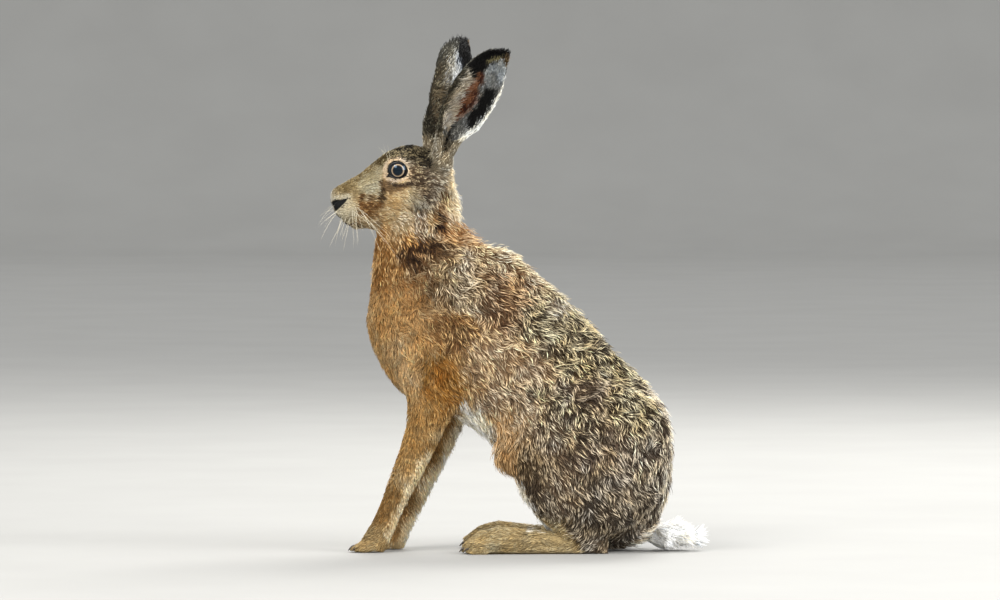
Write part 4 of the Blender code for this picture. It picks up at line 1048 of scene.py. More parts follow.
class Skin:
    """One closed skin for all the flesh, sunk under the coat by the coat's own depth."""

    NAME = "skin"
    SWELL = 0.38
    HARD_MUZZLE_X = (-142.0, -128.0)
    EYE_ROOM = (13.0, 17.0)
    VOXEL = 1.0
    SMOOTHING = 5
    SINK_SHARE = 0.9
    FLOOR_FADE = (0.5, 9.0)
    THIN_FROM = (8.0, 22.0)
    THIN_SINK = 0.5
    DEEPEST = 3.9
    FACES = 130000
    TAIL_ROOT_X = 118.0
    TAIL_AXIS_Z = 14.0
    TAIL_CORE = (0.90, 0.86)
    TAIL_TAPER = 0.50
    TAIL_LENGTH = 72.0

    def __init__(self, pattern: Pattern) -> None:
        self.pattern = pattern
        self.nodes = sorted(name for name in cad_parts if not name.startswith("eye"))
        self.obj = self._whole()
        self._sink()
        self._thin()
        self._paint()

    def _node_form(self, name: str) -> bmesh.types.BMesh:
        """A closed copy of one solid, a little larger, so that it overlaps its neighbours."""
        form = bmesh.new()
        form.from_mesh(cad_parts[name].data)
        bmesh.ops.remove_doubles(form, verts=form.verts[:], dist=MM / 1000)
        form.normal_update()
        muzzle, firm = self.HARD_MUZZLE_X
        for vertex in form.verts:
            place = vertex.co / MM
            share = 1.0
            if name == "head":
                share = min(1.0, max(0.0, (place.x - muzzle) / (firm - muzzle)))
                nearest = min((place - Eye.centre(side)).length for side in SIDES.values())
                low, high = self.EYE_ROOM
                share *= min(1.0, max(0.0, (nearest - low) / (high - low)))
            vertex.co += vertex.normal * self.SWELL * MM * share
            if name == "tail":
                self._shrink_tail(vertex)
        return form

    def _shrink_tail(self, vertex: bmesh.types.BMVert) -> None:
        """Draws the tail's outer form in to the core that its tufts grow from."""
        lengthwise, across = self.TAIL_CORE
        root = Vector((self.TAIL_ROOT_X, 0, self.TAIL_AXIS_Z)) * MM
        offset = vertex.co - root
        share = min(max(offset.x / (self.TAIL_LENGTH * MM), 0.0), 1.0)
        across *= 1.0 - self.TAIL_TAPER * share**2
        vertex.co = root + Vector((offset.x * lengthwise, offset.y * across, offset.z * across))

    def _whole(self) -> bpy.types.Object:
        """All the flesh as one smooth skin at the outer form of the coat."""
        mesh = bpy.data.meshes.new(self.NAME)
        joined = bmesh.new()
        for name in self.nodes:
            form = self._node_form(name)
            part = bpy.data.meshes.new(name)
            form.to_mesh(part)
            form.free()
            joined.from_mesh(part)
            bpy.data.meshes.remove(part)
        joined.to_mesh(mesh)
        joined.free()
        obj = add_object(self.NAME, mesh)
        add_modifier(obj, "REMESH", mode="VOXEL", voxel_size=self.VOXEL * MM, use_smooth_shade=True)
        add_modifier(obj, "SMOOTH", factor=0.5, iterations=self.SMOOTHING)
        settle(obj)
        return obj

    def _sink(self) -> None:
        """Lowers the skin under the coat, but not where it meets the floor."""
        places = read_places(self.obj.data)
        normals = read_normals(self.obj.data)
        growth = self.pattern.at(places, normals)
        depth = growth.height * self.SINK_SHARE * (1.0 - growth.bare)
        depth = np.minimum(depth, self.DEEPEST)
        for ear in EARS:
            held = ear.holds(places, self.THIN_FROM)
            depth -= np.maximum(depth - self.THIN_SINK, 0.0) * held
        depth *= smooth_step(places[:, 2], *self.FLOOR_FADE)
        for side in SIDES.values():
            away = np.linalg.norm(places - np.array(Eye.centre(side)), axis=1)
            depth *= smooth_step(away, *self.EYE_ROOM)
        write_places(self.obj.data, places - normals * depth[:, None])
        add_modifier(self.obj, "SMOOTH", factor=0.5, iterations=2)
        settle(self.obj)

    def _thin(self) -> None:
        """Leaves fewer triangles, most of them on the head and the ears."""
        places = read_places(self.obj.data)
        group = self.obj.vertex_groups.new(name="coarse")
        levels = 1.0 - smooth_step(places[:, 2] - 0.49 * (places[:, 0] + 150), 300, 330)
        for level in (0.0, 0.25, 0.5, 0.75, 1.0):
            members = np.flatnonzero(np.round(levels * 4) / 4 == level)
            group.add(members.tolist(), 0.15 + 0.85 * level, "REPLACE")
        triangles = 2 * len(self.obj.data.polygons)
        add_modifier(
            self.obj, "DECIMATE", ratio=self.FACES / triangles, vertex_group="coarse", vertex_group_factor=1.0
        )
        settle(self.obj)
        self.obj.vertex_groups.clear()
        triangulated = bmesh.new()
        triangulated.from_mesh(self.obj.data)
        bmesh.ops.triangulate(triangulated, faces=triangulated.faces[:])
        for face in triangulated.faces:
            face.smooth = True
        triangulated.to_mesh(self.obj.data)
        triangulated.free()

    def _paint(self) -> None:
        """Gives the skin the same markings as the coat, and its finish."""
        mesh = self.obj.data
        growth = self.pattern.at(read_places(mesh), read_normals(mesh))
        colours = 0.55 * growth.tones[:, 0:3] + 0.45 * growth.tones[:, 3:6]
        write_colours(mesh, COAT_COLOUR, to_linear(colours))
        mesh.materials.append(Finishes.skin())
        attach(self.obj, ROOT)
        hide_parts(*self.nodes)

    def triangles(self) -> tuple[np.ndarray, np.ndarray, np.ndarray]:
        """The skin's points, their outward directions, and its triangles."""
        mesh = self.obj.data
        faces = np.empty(len(mesh.loops), np.int32)
        mesh.loops.foreach_get("vertex_index", faces)
        return read_places(mesh), read_normals(mesh), faces.reshape(-1, 3)


@dataclass(frozen=True)
class Layer:
    """How the tufts of one layer of the coat differ from what the guides ask for.

    Args:
        rings: rings of points in a tuft.
        length: length as a share of the guides'.
        lift: lift as a share of the guides'.
        spacing: spacing as a share of the guides'.
        width: width as a share of the guides'.
        curl: curl as a share of the guides'.
        pull: how far the tips of a lock are drawn together, from 0 to 1.
        stray: how far single tufts turn away from the lie, in radians.
        unruly: how unevenly the tufts stand up.
        by_lock: how much whole locks differ in shade.
        by_tuft: how much single tufts differ in shade.
        pale: how fully the ends take the tip colour.
        pale_from: how far along a tuft its tip colour starts, and where it is full.
    """

    rings: int = 2
    length: float = 1.0
    lift: float = 1.0
    spacing: float = 1.0
    width: float = 1.0
    curl: float = 1.0
    pull: float = 0.35
    stray: float = 0.10
    unruly: float = 0.2
    by_lock: float = 0.75
    by_tuft: float = 0.35
    pale: float = 1.0
    pale_from: tuple[float, float] = (0.40, 0.85)

    def scaled(self, growth: Growth) -> Growth:
        """The growth with this layer's shares of its sizes."""
        shares = np.array((self.length, self.lift, self.spacing, self.width, self.curl, 1.0))
        return Growth(growth.lie, growth.sizes * shares, growth.tones, growth.bare)


SHORT = Layer()
PLAIN = Layer(length=0.95, spacing=1.12, width=0.9, curl=1.5, pull=0.4, by_lock=0.45, by_tuft=0.7)
UNDER = Layer(
    length=0.85, lift=0.85, spacing=1.22, width=0.85, pull=0.4, stray=0.08, by_lock=0.5, by_tuft=0.5, pale=0.85
)
GUARD = Layer(
    3, 0.95, 1.1, 1.36, 0.78, 0.9, 0.34, 0.10, unruly=0.4, by_lock=0.5, by_tuft=0.55, pale_from=(0.34, 0.74)
)
LEGS = Layer(spacing=1.05, curl=0.4, stray=0.07, by_lock=0.5, by_tuft=0.5)
BRUSH = Layer(3, spacing=0.8, width=0.8, curl=0.4, pull=0.15, stray=0.05, by_lock=0.4)


@dataclass(frozen=True)
class CoatPiece:
    """One piece of the coat.

    Args:
        name: its name.
        layer: its layer.
        nodes: the solids whose surface it covers.
        slot: a name for its kind of fur; every piece takes the outer fur finish, and only fur_body pieces leave out
            some of their hidden tufts.
        low: lowest x in millimetres that it covers.
        high: highest x that it covers.
        side: the side that it covers, or 0 for both.
        centre: a point on the axis that its skin is unrolled about.
        axis: the direction of that axis.
        ease: over how many millimetres from its lowest x its tufts come in, one by one.
    """

    name: str
    layer: Layer
    nodes: tuple[str, ...]
    slot: str
    low: float = -1000.0
    high: float = 1000.0
    side: float = 0.0
    centre: Triple = (0, 0, 0)
    axis: Triple = (0, 0, 1)
    ease: float = 0.0


def body_pieces(layer_name: str, layer: Layer, start: float, ease: float) -> list[CoatPiece]:
    """The pieces of one layer over the neck, the sides and the haunches."""
    trunk_axis = (0.62, 0.0, -0.78)
    pieces = [CoatPiece(layer_name + "_neck", layer, ("neck",), "fur_neck", centre=(-95, 0, 300))]
    for name, side in SIDES.items():
        sides_centre, haunch_centre = (20, 0, 190), (72, 30 * side, 96)
        pieces.append(
            CoatPiece(f"{layer_name}_side_{name}", layer, ("torso",), "fur_body", start, 1000, side, sides_centre, trunk_axis, ease)
        )
        pieces.append(
            CoatPiece(f"{layer_name}_haunch_{name}", layer, ("haunch_" + name,), "fur_body", centre=haunch_centre)
        )
    return pieces


BOTH_FORELEGS = ("foreleg_left", "foreleg_right", "forepaw_left", "forepaw_right")
BOTH_HIND_FEET = ("hind_foot_left", "hind_foot_right")
LENGTHWISE = (1, 0, 0)
COAT_PIECES = [
    CoatPiece("coat_face", SHORT, ("head",), "fur_head", high=-122, centre=(-150, 0, 350), axis=LENGTHWISE),
    CoatPiece("coat_crown", SHORT, ("head",), "fur_head", low=-122, centre=(-95, 0, 360), axis=LENGTHWISE),
    CoatPiece("coat_chest", PLAIN, ("torso",), "fur_body", high=-62, centre=(-100, 0, 220)),
    *body_pieces("coat", UNDER, -62, 0.0),
    *body_pieces("guard", GUARD, -100, 40.0),
    CoatPiece("coat_forelegs", LEGS, BOTH_FORELEGS, "fur_legs", centre=(-105, 0, 60)),
    CoatPiece("coat_hind_feet", SHORT, BOTH_HIND_FEET, "fur_legs", centre=(20, 0, 10), axis=LENGTHWISE),
    CoatPiece("coat_ear_left", SHORT, ("ear_left",), "fur_ear", centre=(-43, -24, 444), axis=(0.53, -0.13, 0.83)),
    CoatPiece("coat_ear_right", SHORT, ("ear_right",), "fur_ear", centre=(-70, 23, 449), axis=(0.22, 0.08, 0.97)),
    CoatPiece("coat_tail", BRUSH, ("tail",), "fur_tail", centre=(140, 0, 14), axis=LENGTHWISE),
]


class Coat:
    """Tufts of fur over the whole skin, as one joined mesh for each piece of the coat."""

    SIDES = 3
    MOST_TRIANGLES = 199000
    LEVELS = 1.12
    CROWDING = 3.2
    PATCH = 0.003
    SOLE_HEIGHT = 3.0
    GROUND = 3.0
    SOLE_FACING = -0.75
    HIDDEN_FACING = -0.35
    HIDDEN_SHARE = 0.4
    BEND = 0.36
    RIDGE = 0.55
    TONE_STRAY = 0.75
    SEED = 11
    MOTTLES = ((Sway(7.0, 20), 0.25), (Sway(16.0, 21), 0.50), (Sway(42.0, 22), 0.35))
    TINT = Sway(21.0, 41)
    WARM = (0.02, 0.0, -0.04)
    SWIRLS = ((Sway(13.0, 32), 0.20), (Sway(32.0, 31), 0.42))
    SWING = Sway(13.0, 33)
    WAVE = Sway(17.0, 34)

    def __init__(self, skin: Skin, pattern: Pattern) -> None:
        self.pattern = pattern
        self.draw = np.random.default_rng(self.SEED)
        places, normals, faces = skin.triangles()
        node_of = self._nearest_nodes(places, faces, skin.nodes)
        self.count = 0
        self.triangles = 0
        for piece in COAT_PIECES:
            middles = places[faces].mean(axis=1)
            chosen = np.isin(node_of, [skin.nodes.index(name) for name in piece.nodes])
            chosen &= (middles[:, 0] >= piece.low) & (middles[:, 0] < piece.high)
            if piece.side:
                chosen &= middles[:, 1] * piece.side >= 0
            self._grow(piece, places, normals, faces[chosen])

    @staticmethod
    def _nearest_nodes(places: np.ndarray, faces: np.ndarray, names: list[str]) -> np.ndarray:
        """For each triangle of the skin, the number of the solid that it stands for."""
        corners: list[Vector] = []
        owners: list[int] = []
        triangles: list[tuple[int, int, int]] = []
        for number, name in enumerate(names):
            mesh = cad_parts[name].data
            start = len(corners)
            corners += [vertex.co.copy() for vertex in mesh.vertices]
            triangles += [tuple(start + index for index in face.vertices) for face in mesh.polygons]
            owners += [number] * len(mesh.polygons)
        tree = BVHTree.FromPolygons(corners, triangles)
        middles = places[faces].mean(axis=1) * MM
        return np.array([owners[tree.find_nearest(Vector(middle))[2]] for middle in middles])

    def _roots(
        self, piece: CoatPiece, places: np.ndarray, normals: np.ndarray, faces: np.ndarray
    ) -> tuple[np.ndarray, np.ndarray, Growth]:
        """Places for tufts on these triangles, spaced as the coat there asks.

        Args:
            piece: the piece of the coat.
            places: the skin's points.
            normals: the outward direction at each.
            faces: the triangles to grow on.

        Returns:
            The roots, their outward directions, and the growth at each.
        """
        corners = places[faces]
        areas = np.linalg.norm(np.cross(corners[:, 1] - corners[:, 0], corners[:, 2] - corners[:, 0]), axis=1)
        middles = corners.mean(axis=1)
        facing = unit(normals[faces].mean(axis=1))
        spacing = piece.layer.scaled(self.pattern.at(middles, facing)).sizes[:, 2]
        wanted = areas / 2 / spacing**2 * self.CROWDING
        numbers = self.draw.poisson(wanted)
        owner = np.repeat(np.arange(len(faces)), numbers)
        shares = self.draw.random((len(owner), 2))
        over = shares.sum(axis=1) > 1
        shares[over] = 1 - shares[over]
        weights = np.column_stack([1 - shares.sum(axis=1), shares])
        roots = np.einsum("ij,ijk->ik", weights, places[faces[owner]])
        outward = unit(np.einsum("ij,ijk->ik", weights, normals[faces[owner]]))
        cell = self.LEVELS ** np.round(np.log(spacing[owner]) / math.log(self.LEVELS))
        keys = np.column_stack([np.floor(roots / cell[:, None]), np.round(cell * 1000)]).astype(np.int64)
        kept = np.unique(keys, axis=0, return_index=True)[1]
        roots, outward = roots[kept], outward[kept]
        growth = piece.layer.scaled(self.pattern.at(roots, outward))
        grown = growth.bare < 0.5
        grown &= ~((roots[:, 2] < self.SOLE_HEIGHT) & (outward[:, 2] < self.SOLE_FACING))
        hidden = outward[:, 1] * np.sign(roots[:, 1]) < self.HIDDEN_FACING
        grown &= ~(hidden & (self.draw.random(len(roots)) > self.HIDDEN_SHARE)) | (piece.slot != "fur_body")
        if piece.ease:
            come_in = smooth_step(roots[:, 0], piece.low, piece.low + piece.ease)
            grown &= self.draw.random(len(roots)) < come_in
        for side in SIDES.values():
            grown &= np.linalg.norm(roots - np.array(Eye.centre(side)), axis=1) > Eye.RADIUS + 0.4
        roots, outward, growth = roots[grown], outward[grown], growth.only(grown)
        stray = self.draw.normal(0, self.TONE_STRAY, roots.shape) * growth.sizes[:, 2:3]
        growth.tones = self.pattern.at(roots + stray, outward).tones
        return roots, outward, growth

    def _clumps(self, roots: np.ndarray, sizes: np.ndarray) -> np.ndarray:
        """For each tuft, the number of the tuft that its lock gathers round."""
        size = np.maximum(sizes[:, 5], 1.0)
        cell = 1.3 ** np.round(np.log(size) / math.log(1.3))
        keys = np.column_stack([np.floor(roots / cell[:, None]), np.round(cell * 1000)]).astype(np.int64)
        centres = np.unique(keys, axis=0, return_index=True)[1]
        tree = KDTree(len(centres))
        for number in centres:
            tree.insert(roots[number], int(number))
        tree.balance()
        return np.array([tree.find(root)[1] for root in roots])

    def _grow(self, piece: CoatPiece, places: np.ndarray, normals: np.ndarray, faces: np.ndarray) -> None:
        """Makes one piece of the coat.

        Args:
            piece: what it covers.
            places: the skin's points.
            normals: the outward direction at each.
            faces: the triangles that it grows on.
        """
        roots, outward, growth = self._roots(piece, places, normals, faces)
        rings = piece.layer.rings
        per_tuft = 2 * self.SIDES * (rings - 1) + 2 * self.SIDES - 2
        most = self.MOST_TRIANGLES // per_tuft
        if len(roots) > most:
            kept = np.sort(self.draw.permutation(len(roots))[:most])
            LOG.warning("%s is thinned from %d to %d tufts", piece.name, len(roots), most)
            roots, outward, growth = roots[kept], outward[kept], growth.only(kept)
        clump = self._clumps(roots, growth.sizes)
        centres, colours, along = self._tufts(piece.layer, roots, outward, growth, clump)
        count, points = len(roots), rings * self.SIDES + 1
        mesh = mesh_of(piece.name, centres.reshape(-1, 3), strand_faces(count, rings, self.SIDES))
        write_colours(mesh, COAT_COLOUR, to_linear(colours.reshape(-1, 3)))
        self._unroll(mesh, piece, roots, points)
        obj = add_object(piece.name, mesh)
        mesh.materials.append(Finishes.fur())
        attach(obj, ROOT)
        self.count += count
        self.triangles += len(mesh.polygons)
        LOG.info("%s: %d tufts, %d triangles", piece.name, count, len(mesh.polygons))

    def _tufts(
        self, layer: Layer, roots: np.ndarray, outward: np.ndarray, growth: Growth, clump: np.ndarray
    ) -> tuple[np.ndarray, np.ndarray, np.ndarray]:
        """The points and colours of the tufts.

        Args:
            layer: the layer of the coat.
            roots: where the tufts leave the skin.
            outward: the skin's outward direction there.
            growth: the coat there.
            clump: for each tuft, the one that its lock gathers round.

        Returns:
            Points and colours, each tuft's in a row, and how far along the tuft each of its points is.
        """
        count = len(roots)
        length, lift, _, width, curl, _ = growth.sizes.T
        length = length * self.draw.uniform(0.72, 1.16, count)
        lie = unit(growth.lie - outward * np.einsum("ij,ij->i", growth.lie, outward)[:, None])
        turn = sum(sway.at(roots) * strength for sway, strength in self.SWIRLS) * (0.2 + curl)
        astray = self.draw.normal(0, 1, count) + self.draw.normal(0, 1, count)[clump]
        turn = (turn + astray * layer.stray * (0.6 + curl))[:, None]
        sideways = np.cross(outward, lie)
        lie, sideways = lie * np.cos(turn) + sideways * np.sin(turn), sideways * np.cos(turn) - lie * np.sin(turn)
        swing = 0.95 * self.SWING.at(roots) + 0.35 * self.draw.normal(0, 1, count)
        wave = 0.7 + 0.3 * self.WAVE.at(roots)
        shade = layer.by_lock * self.draw.normal(0, 1, count)[clump] + layer.by_tuft * self.draw.normal(0, 1, count)
        shade += sum(sway.at(roots) * strength for sway, strength in self.MOTTLES)
        rise = lift * np.clip(1 + layer.unruly * self.draw.normal(0, 1, count), 0.4, 2.0)
        shares = np.linspace(0, 1, layer.rings + 1)
        lines = []
        for share in shares:
            height = length * rise * (1.7 * share - 0.7 * share * share)
            bend = length * curl * self.BEND * swing * np.sin(math.pi * share * (0.6 + wave))
            line = roots + lie * (length * share)[:, None]
            line += outward * (height - 0.25 * (share == 0))[:, None] + sideways * bend[:, None]
            lines.append(line)
        ends = lines[-1]
        for index, share in enumerate(shares):
            lines[index] = lines[index] + (ends[clump] - ends) * (layer.pull * share**1.6)
        half = width / 2 * self.draw.uniform(0.75, 1.25, count)
        tapers = np.interp(shares[:-1], [0, 0.3, 0.7, 1.0], [0.75, 1.0, 0.72, 0.2])
        corners = [(-1.0, -0.25), (1.0, -0.25), (0.0, self.RIDGE)]
        points, along = [], []
        for share, taper, line in zip(shares[:-1], tapers, lines):
            for across, over in corners:
                offset = sideways * (half * taper * across)[:, None] + outward * (half * taper * over)[:, None]
                points.append(line + offset)
                along.append(share)
        points.append(lines[-1])
        along.append(1.0)
        colours = self._colours(layer, growth.tones, np.array(along), shade)
        colours *= 1.0 + self.TINT.at(roots)[:, None, None] * np.array(self.WARM)
        return self._above_ground(np.stack(points, axis=1)), colours, np.array(along)

    def _above_ground(self, points: np.ndarray) -> np.ndarray:
        """The points with those near the ground or under it bent along it."""
        heights = points[..., 2]
        points[..., 2] = np.where(heights < self.GROUND, self.GROUND * np.exp(heights / self.GROUND - 1.0), heights)
        return points

    def _colours(self, layer: Layer, tones: np.ndarray, along: np.ndarray, shade: np.ndarray) -> np.ndarray:
        """Colours along each tuft: its root, a band, and a tip that is pale on some and dark on others.

        Args:
            layer: the layer of the coat.
            tones: root, band and tip colours and the fleck of each tuft.
            along: how far along a tuft each of its points is.
            shade: an uneven number for each tuft.

        Returns:
            A colour for each point of each tuft.
        """
        count = len(tones)
        fleck = tones[:, 9]
        limit = (0.5 - fleck) * 2.2
        dark = smooth_step(shade - limit, -0.45, 0.45) * np.minimum(1.0, 0.3 + 1.4 * fleck)
        tip = blend(tones[:, 6:9], tones[:, 3:6], dark)
        tip = blend(tones[:, 3:6], tip, np.full(count, layer.pale))
        band, root = tones[:, 3:6], tones[:, 0:3]
        light = 1.0 + 0.13 * self.draw.normal(0, 1, count) * (0.4 + fleck)
        to_band = smooth_step(along, 0.05, 0.35)
        to_tip = smooth_step(along, *layer.pale_from)
        mixed = root[:, None] + (band - root)[:, None] * to_band[None, :, None]
        mixed = mixed + (tip[:, None] - mixed) * to_tip[None, :, None]
        return mixed * light[:, None, None]

    def _unroll(self, mesh: bpy.types.Mesh, piece: CoatPiece, roots: np.ndarray, points: int) -> None:
        """Gives each tuft a small patch at its root's place on the unrolled skin.

        Args:
            mesh: the tufts.
            piece: the piece of the coat, with the axis to unroll about.
            roots: where the tufts leave the skin.
            points: points in one tuft.
        """
        axis = unit(np.array(piece.axis, float))
        level = unit(np.cross(axis, (0.0, 1.0, 0.0)))
        beside = np.cross(axis, level)
        offset = roots - np.array(piece.centre, float)
        angle = np.arctan2(offset @ beside, offset @ level) / math.tau + 0.5
        height = offset @ axis
        height = (height - height.min()) / max(np.ptp(height), 1e-6)
        base = np.column_stack([angle, height]) * (1 - 2 * self.PATCH)
        number = np.arange(points)
        around = (number % self.SIDES) / (self.SIDES - 1)
        around[-1] = 0.5
        upward = (number // self.SIDES) / piece.layer.rings
        patch = np.column_stack([around, upward]) * self.PATCH
        corners = (base[:, None] + patch[None]).reshape(-1, 2)
        vertex = np.empty(len(mesh.loops), np.int32)
        mesh.loops.foreach_get("vertex_index", vertex)
        layer = mesh.uv_layers.new(name=BAKE_MAP)
        layer.data.foreach_set("uv", corners[vertex].astype(np.float32).ravel())


class Eye:
    """One eye: a wet ball with a wide pupil and a thin pale iris, and the black margin of its lids."""

    CENTRE = (-119.6, 19.0, 381.5)
    RADIUS = 10.8
    AIM = (-0.02, 0.99, -0.05)
    SEGMENTS = 96
    RINGS = 64
    MARGIN_REACH = 47.5
    MARGIN_LENGTHENING = 9.0
    MARGIN_CORNER = 13.0
    MARGIN_DROP = 0.40
    MARGIN_POINTS = 72
    MARGIN_SIDES = 10
    MARGIN_THICKNESS = 0.7

    def __init__(self, name: str, side: float) -> None:
        self.name = name
        self.side = side
        self.aim = Vector((self.AIM[0], side * self.AIM[1], self.AIM[2])).normalized()
        self.ball = self._ball()
        self.margin = self._margin()

    @staticmethod
    def centre(side: float) -> Vector:
        """The middle of the eyeball of a side, in millimetres."""
        x, y, z = Eye.CENTRE
        return Vector((x, side * y, z))

    def _ball(self) -> bpy.types.Object:
        """The eyeball, with each point's distance from the line of sight stored on it."""
        turn = self.aim.to_track_quat("Z", "Y").to_matrix().to_4x4()
        matrix = Matrix.Translation(self.centre(self.side) * MM) @ turn
        form = bmesh.new()
        bmesh.ops.create_uvsphere(
            form, u_segments=self.SEGMENTS, v_segments=self.RINGS, radius=self.RADIUS * MM, matrix=matrix
        )
        for face in form.faces:
            face.smooth = True
        mesh = bpy.data.meshes.new("eyeball_" + self.name)
        form.to_mesh(mesh)
        form.free()
        offset = read_places(mesh) - np.array(self.centre(self.side))
        forward = offset @ np.array(self.aim)
        front = np.sqrt(np.maximum(self.RADIUS**2 - forward**2, 0.0))
        write_numbers(mesh, "from_sight", np.where(forward > 0, front, self.RADIUS))
        up = np.array((0.0, 0.0, 1.0))
        up = unit(up - np.array(self.aim) * (up @ np.array(self.aim)))
        beside = np.cross(np.array(self.aim), up)
        write_numbers(mesh, "around", np.arctan2(offset @ up, offset @ beside) / math.tau)
        mesh.materials.append(Finishes.eye())
        obj = add_object("eyeball_" + self.name, mesh)
        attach(obj, ROOT)
        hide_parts("eye_" + self.name)
        return obj

    def _margin(self) -> bpy.types.Object:
        """The wet black edge of both lids, long at the front corner."""
        aim = self.aim
        front = (Vector((-1, 0, 0)) + aim * aim.x).normalized()
        up = (Vector((0, 0, 1)) - aim * aim.z - front * front.z).normalized()
        places, radii = [], []
        for index in range(self.MARGIN_POINTS):
            angle = math.tau * index / self.MARGIN_POINTS
            corner = max(0.0, math.cos(angle)) ** 8
            reach = self.MARGIN_REACH + self.MARGIN_LENGTHENING * math.cos(angle) ** 2
            reach = math.radians(reach + self.MARGIN_CORNER * corner)
            way = (front * math.cos(angle) + up * (math.sin(angle) - self.MARGIN_DROP * corner)).normalized()
            place = aim * math.cos(reach) + way * math.sin(reach)
            places.append(self.centre(self.side) + place * (self.RADIUS + 0.1))
            radii.append(self.MARGIN_THICKNESS * (1.0 - 0.25 * corner))
        obj = tube("lid_margin_" + self.name, places, radii, self.MARGIN_SIDES, closed=True)
        obj.data.materials.append(Finishes.wet_black())
        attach(obj, ROOT)
        return obj


def tube(
    name: str, places: list[Vector], radii: list[float], sides: int, closed: bool = False
) -> bpy.types.Object:
    """A round bar through places in millimetres, with a radius at each.

    Args:
        name: name of the object.
        places: its middle line.
        radii: its radius at each place.
        sides: points round it.
        closed: whether its ends meet.

    Returns:
        The object.
    """
    form = bmesh.new()
    count = len(places)
    loops = []
    for index, (place, radius) in enumerate(zip(places, radii)):
        before = places[(index - 1) % count if closed else max(index - 1, 0)]
        after = places[(index + 1) % count if closed else min(index + 1, count - 1)]
        turn = (after - before).to_track_quat("Z", "Y").to_matrix().to_4x4()
        matrix = Matrix.Translation(place * MM) @ turn
        made = bmesh.ops.create_circle(form, segments=sides, radius=radius * MM, matrix=matrix)
        loops.append(made["verts"])
    ends = list(zip(loops, loops[1:])) + ([(loops[-1], loops[0])] if closed else [])
    for one, other in ends:
        edges = [e for e in form.edges if set(e.verts) <= set(one) or set(e.verts) <= set(other)]
        bmesh.ops.bridge_loops(form, edges=edges)
    if not closed:
        bmesh.ops.holes_fill(form, edges=form.edges[:], sides=sides)
    bmesh.ops.recalc_face_normals(form, faces=form.faces[:])
    for face in form.faces:
        face.smooth = True
    mesh = bpy.data.meshes.new(name)
    form.to_mesh(mesh)
    form.free()
    return add_object(name, mesh)


@dataclass(frozen=True)
class WhiskerBed:
    """A group of whiskers that grow close together on the right side; the left one has the same.

    Args:
        place: its middle in millimetres.
        spread: how far its roots lie apart.
        way: the way that its whiskers point.
        length: length of the longest in millimetres.
        count: number of whiskers.
        droop: how far the tips sink, as a share of the length.
    """

    place: Triple
    spread: Triple
    way: Triple
    length: float
    count: int
    droop: float


WHISKER_BEDS = [
    WhiskerBed((-179, 9, 342), (2.5, 1.0, 4.0), (-0.52, 0.60, -0.20), 38, 4, 0.30),
    WhiskerBed((-172, 11, 334), (6.0, 1.0, 3.0), (-0.34, 0.42, -0.80), 38, 5, 0.06),
    WhiskerBed((-164, 15, 344), (6.0, 1.0, 4.0), (0.22, 0.55, -0.78), 46, 4, 0.08),
    WhiskerBed((-160, 17, 342), (5.0, 1.0, 4.5), (0.68, 0.36, -0.56), 74, 6, 0.12),
    WhiskerBed((-129, 20, 394), (5.0, 1.0, 1.5), (-0.40, 0.36, 0.85), 27, 2, 0.04),
]


class Whiskers:
    """Pale whiskers on the muzzle and over the eyes, fine and drooping."""

    SEED = 5
    RINGS = 8
    SIDES = 4
    THICKNESS = 0.15
    STRAY = 0.20
    LOWEST_X = -200.0

    def __init__(self, skin: Skin) -> None:
        self.skin = skin.obj
        draw = np.random.default_rng(self.SEED)
        strands = []
        for side in SIDES.values():
            for bed in WHISKER_BEDS:
                for _ in range(bed.count):
                    place = np.array(bed.place) + draw.uniform(-1, 1, 3) * bed.spread
                    way = unit(unit(np.array(bed.way)) + draw.normal(0, self.STRAY, 3))
                    strands.append(self._strand(place, way, bed.length * draw.uniform(0.6, 1.0), side, bed.droop))
        self.obj = self._joined(np.array(strands))

    def _strand(self, place: np.ndarray, way: np.ndarray, length: float, side: float, droop: float) -> np.ndarray:
        """Places along one whisker, from just under the skin to its tip, sinking towards the end.

        Args:
            place: about where it grows on the right side.
            way: the way that it points there.
            length: its length.
            side: LEFT or RIGHT.
            droop: how far its tip sinks, as a share of the length.

        Returns:
            Rows of x, y and z.
        """
        mirror = np.array((1.0, side, 1.0))
        _, hit, normal, _ = self.skin.closest_point_on_mesh(Vector(place * mirror * MM))
        root = np.array(hit) / MM - np.array(normal) * 0.4
        shares = np.linspace(0, 1, self.RINGS)[:, None]
        line = root + way * mirror * length * shares - np.array((0, 0, 1.0)) * length * droop * shares**2
        room = root[0] - self.LOWEST_X
        reach = max(room, 1.0) / max(root[0] - line[:, 0].min(), 1e-6)
        return root + (line - root) * min(1.0, reach)

    def _joined(self, lines: np.ndarray) -> bpy.types.Object:
        """All the hairs as one mesh of thin, tapered strands."""
        along = unit(np.gradient(lines, axis=1))
        across = unit(np.cross(along, (0.3, 0.2, 1.0)))
        over = np.cross(along, across)
        radius = self.THICKNESS * (1.0 - 0.85 * np.linspace(0, 1, self.RINGS)[None, :, None])
        rings = []
        for index in range(self.SIDES):
            angle = math.tau * index / self.SIDES
            rings.append(lines + radius * (across * math.cos(angle) + over * math.sin(angle)))
        body = np.stack(rings, axis=2)[:, :-1].reshape(len(lines), -1, 3)
        points = np.concatenate([body, lines[:, -1:]], axis=1)
        faces = strand_faces(len(lines), self.RINGS - 1, self.SIDES)
        mesh = mesh_of("whiskers", points.reshape(-1, 3), faces)
        mesh.materials.append(Finishes.whisker())
        obj = add_object("whiskers", mesh)
        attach(obj, ROOT)
        return obj


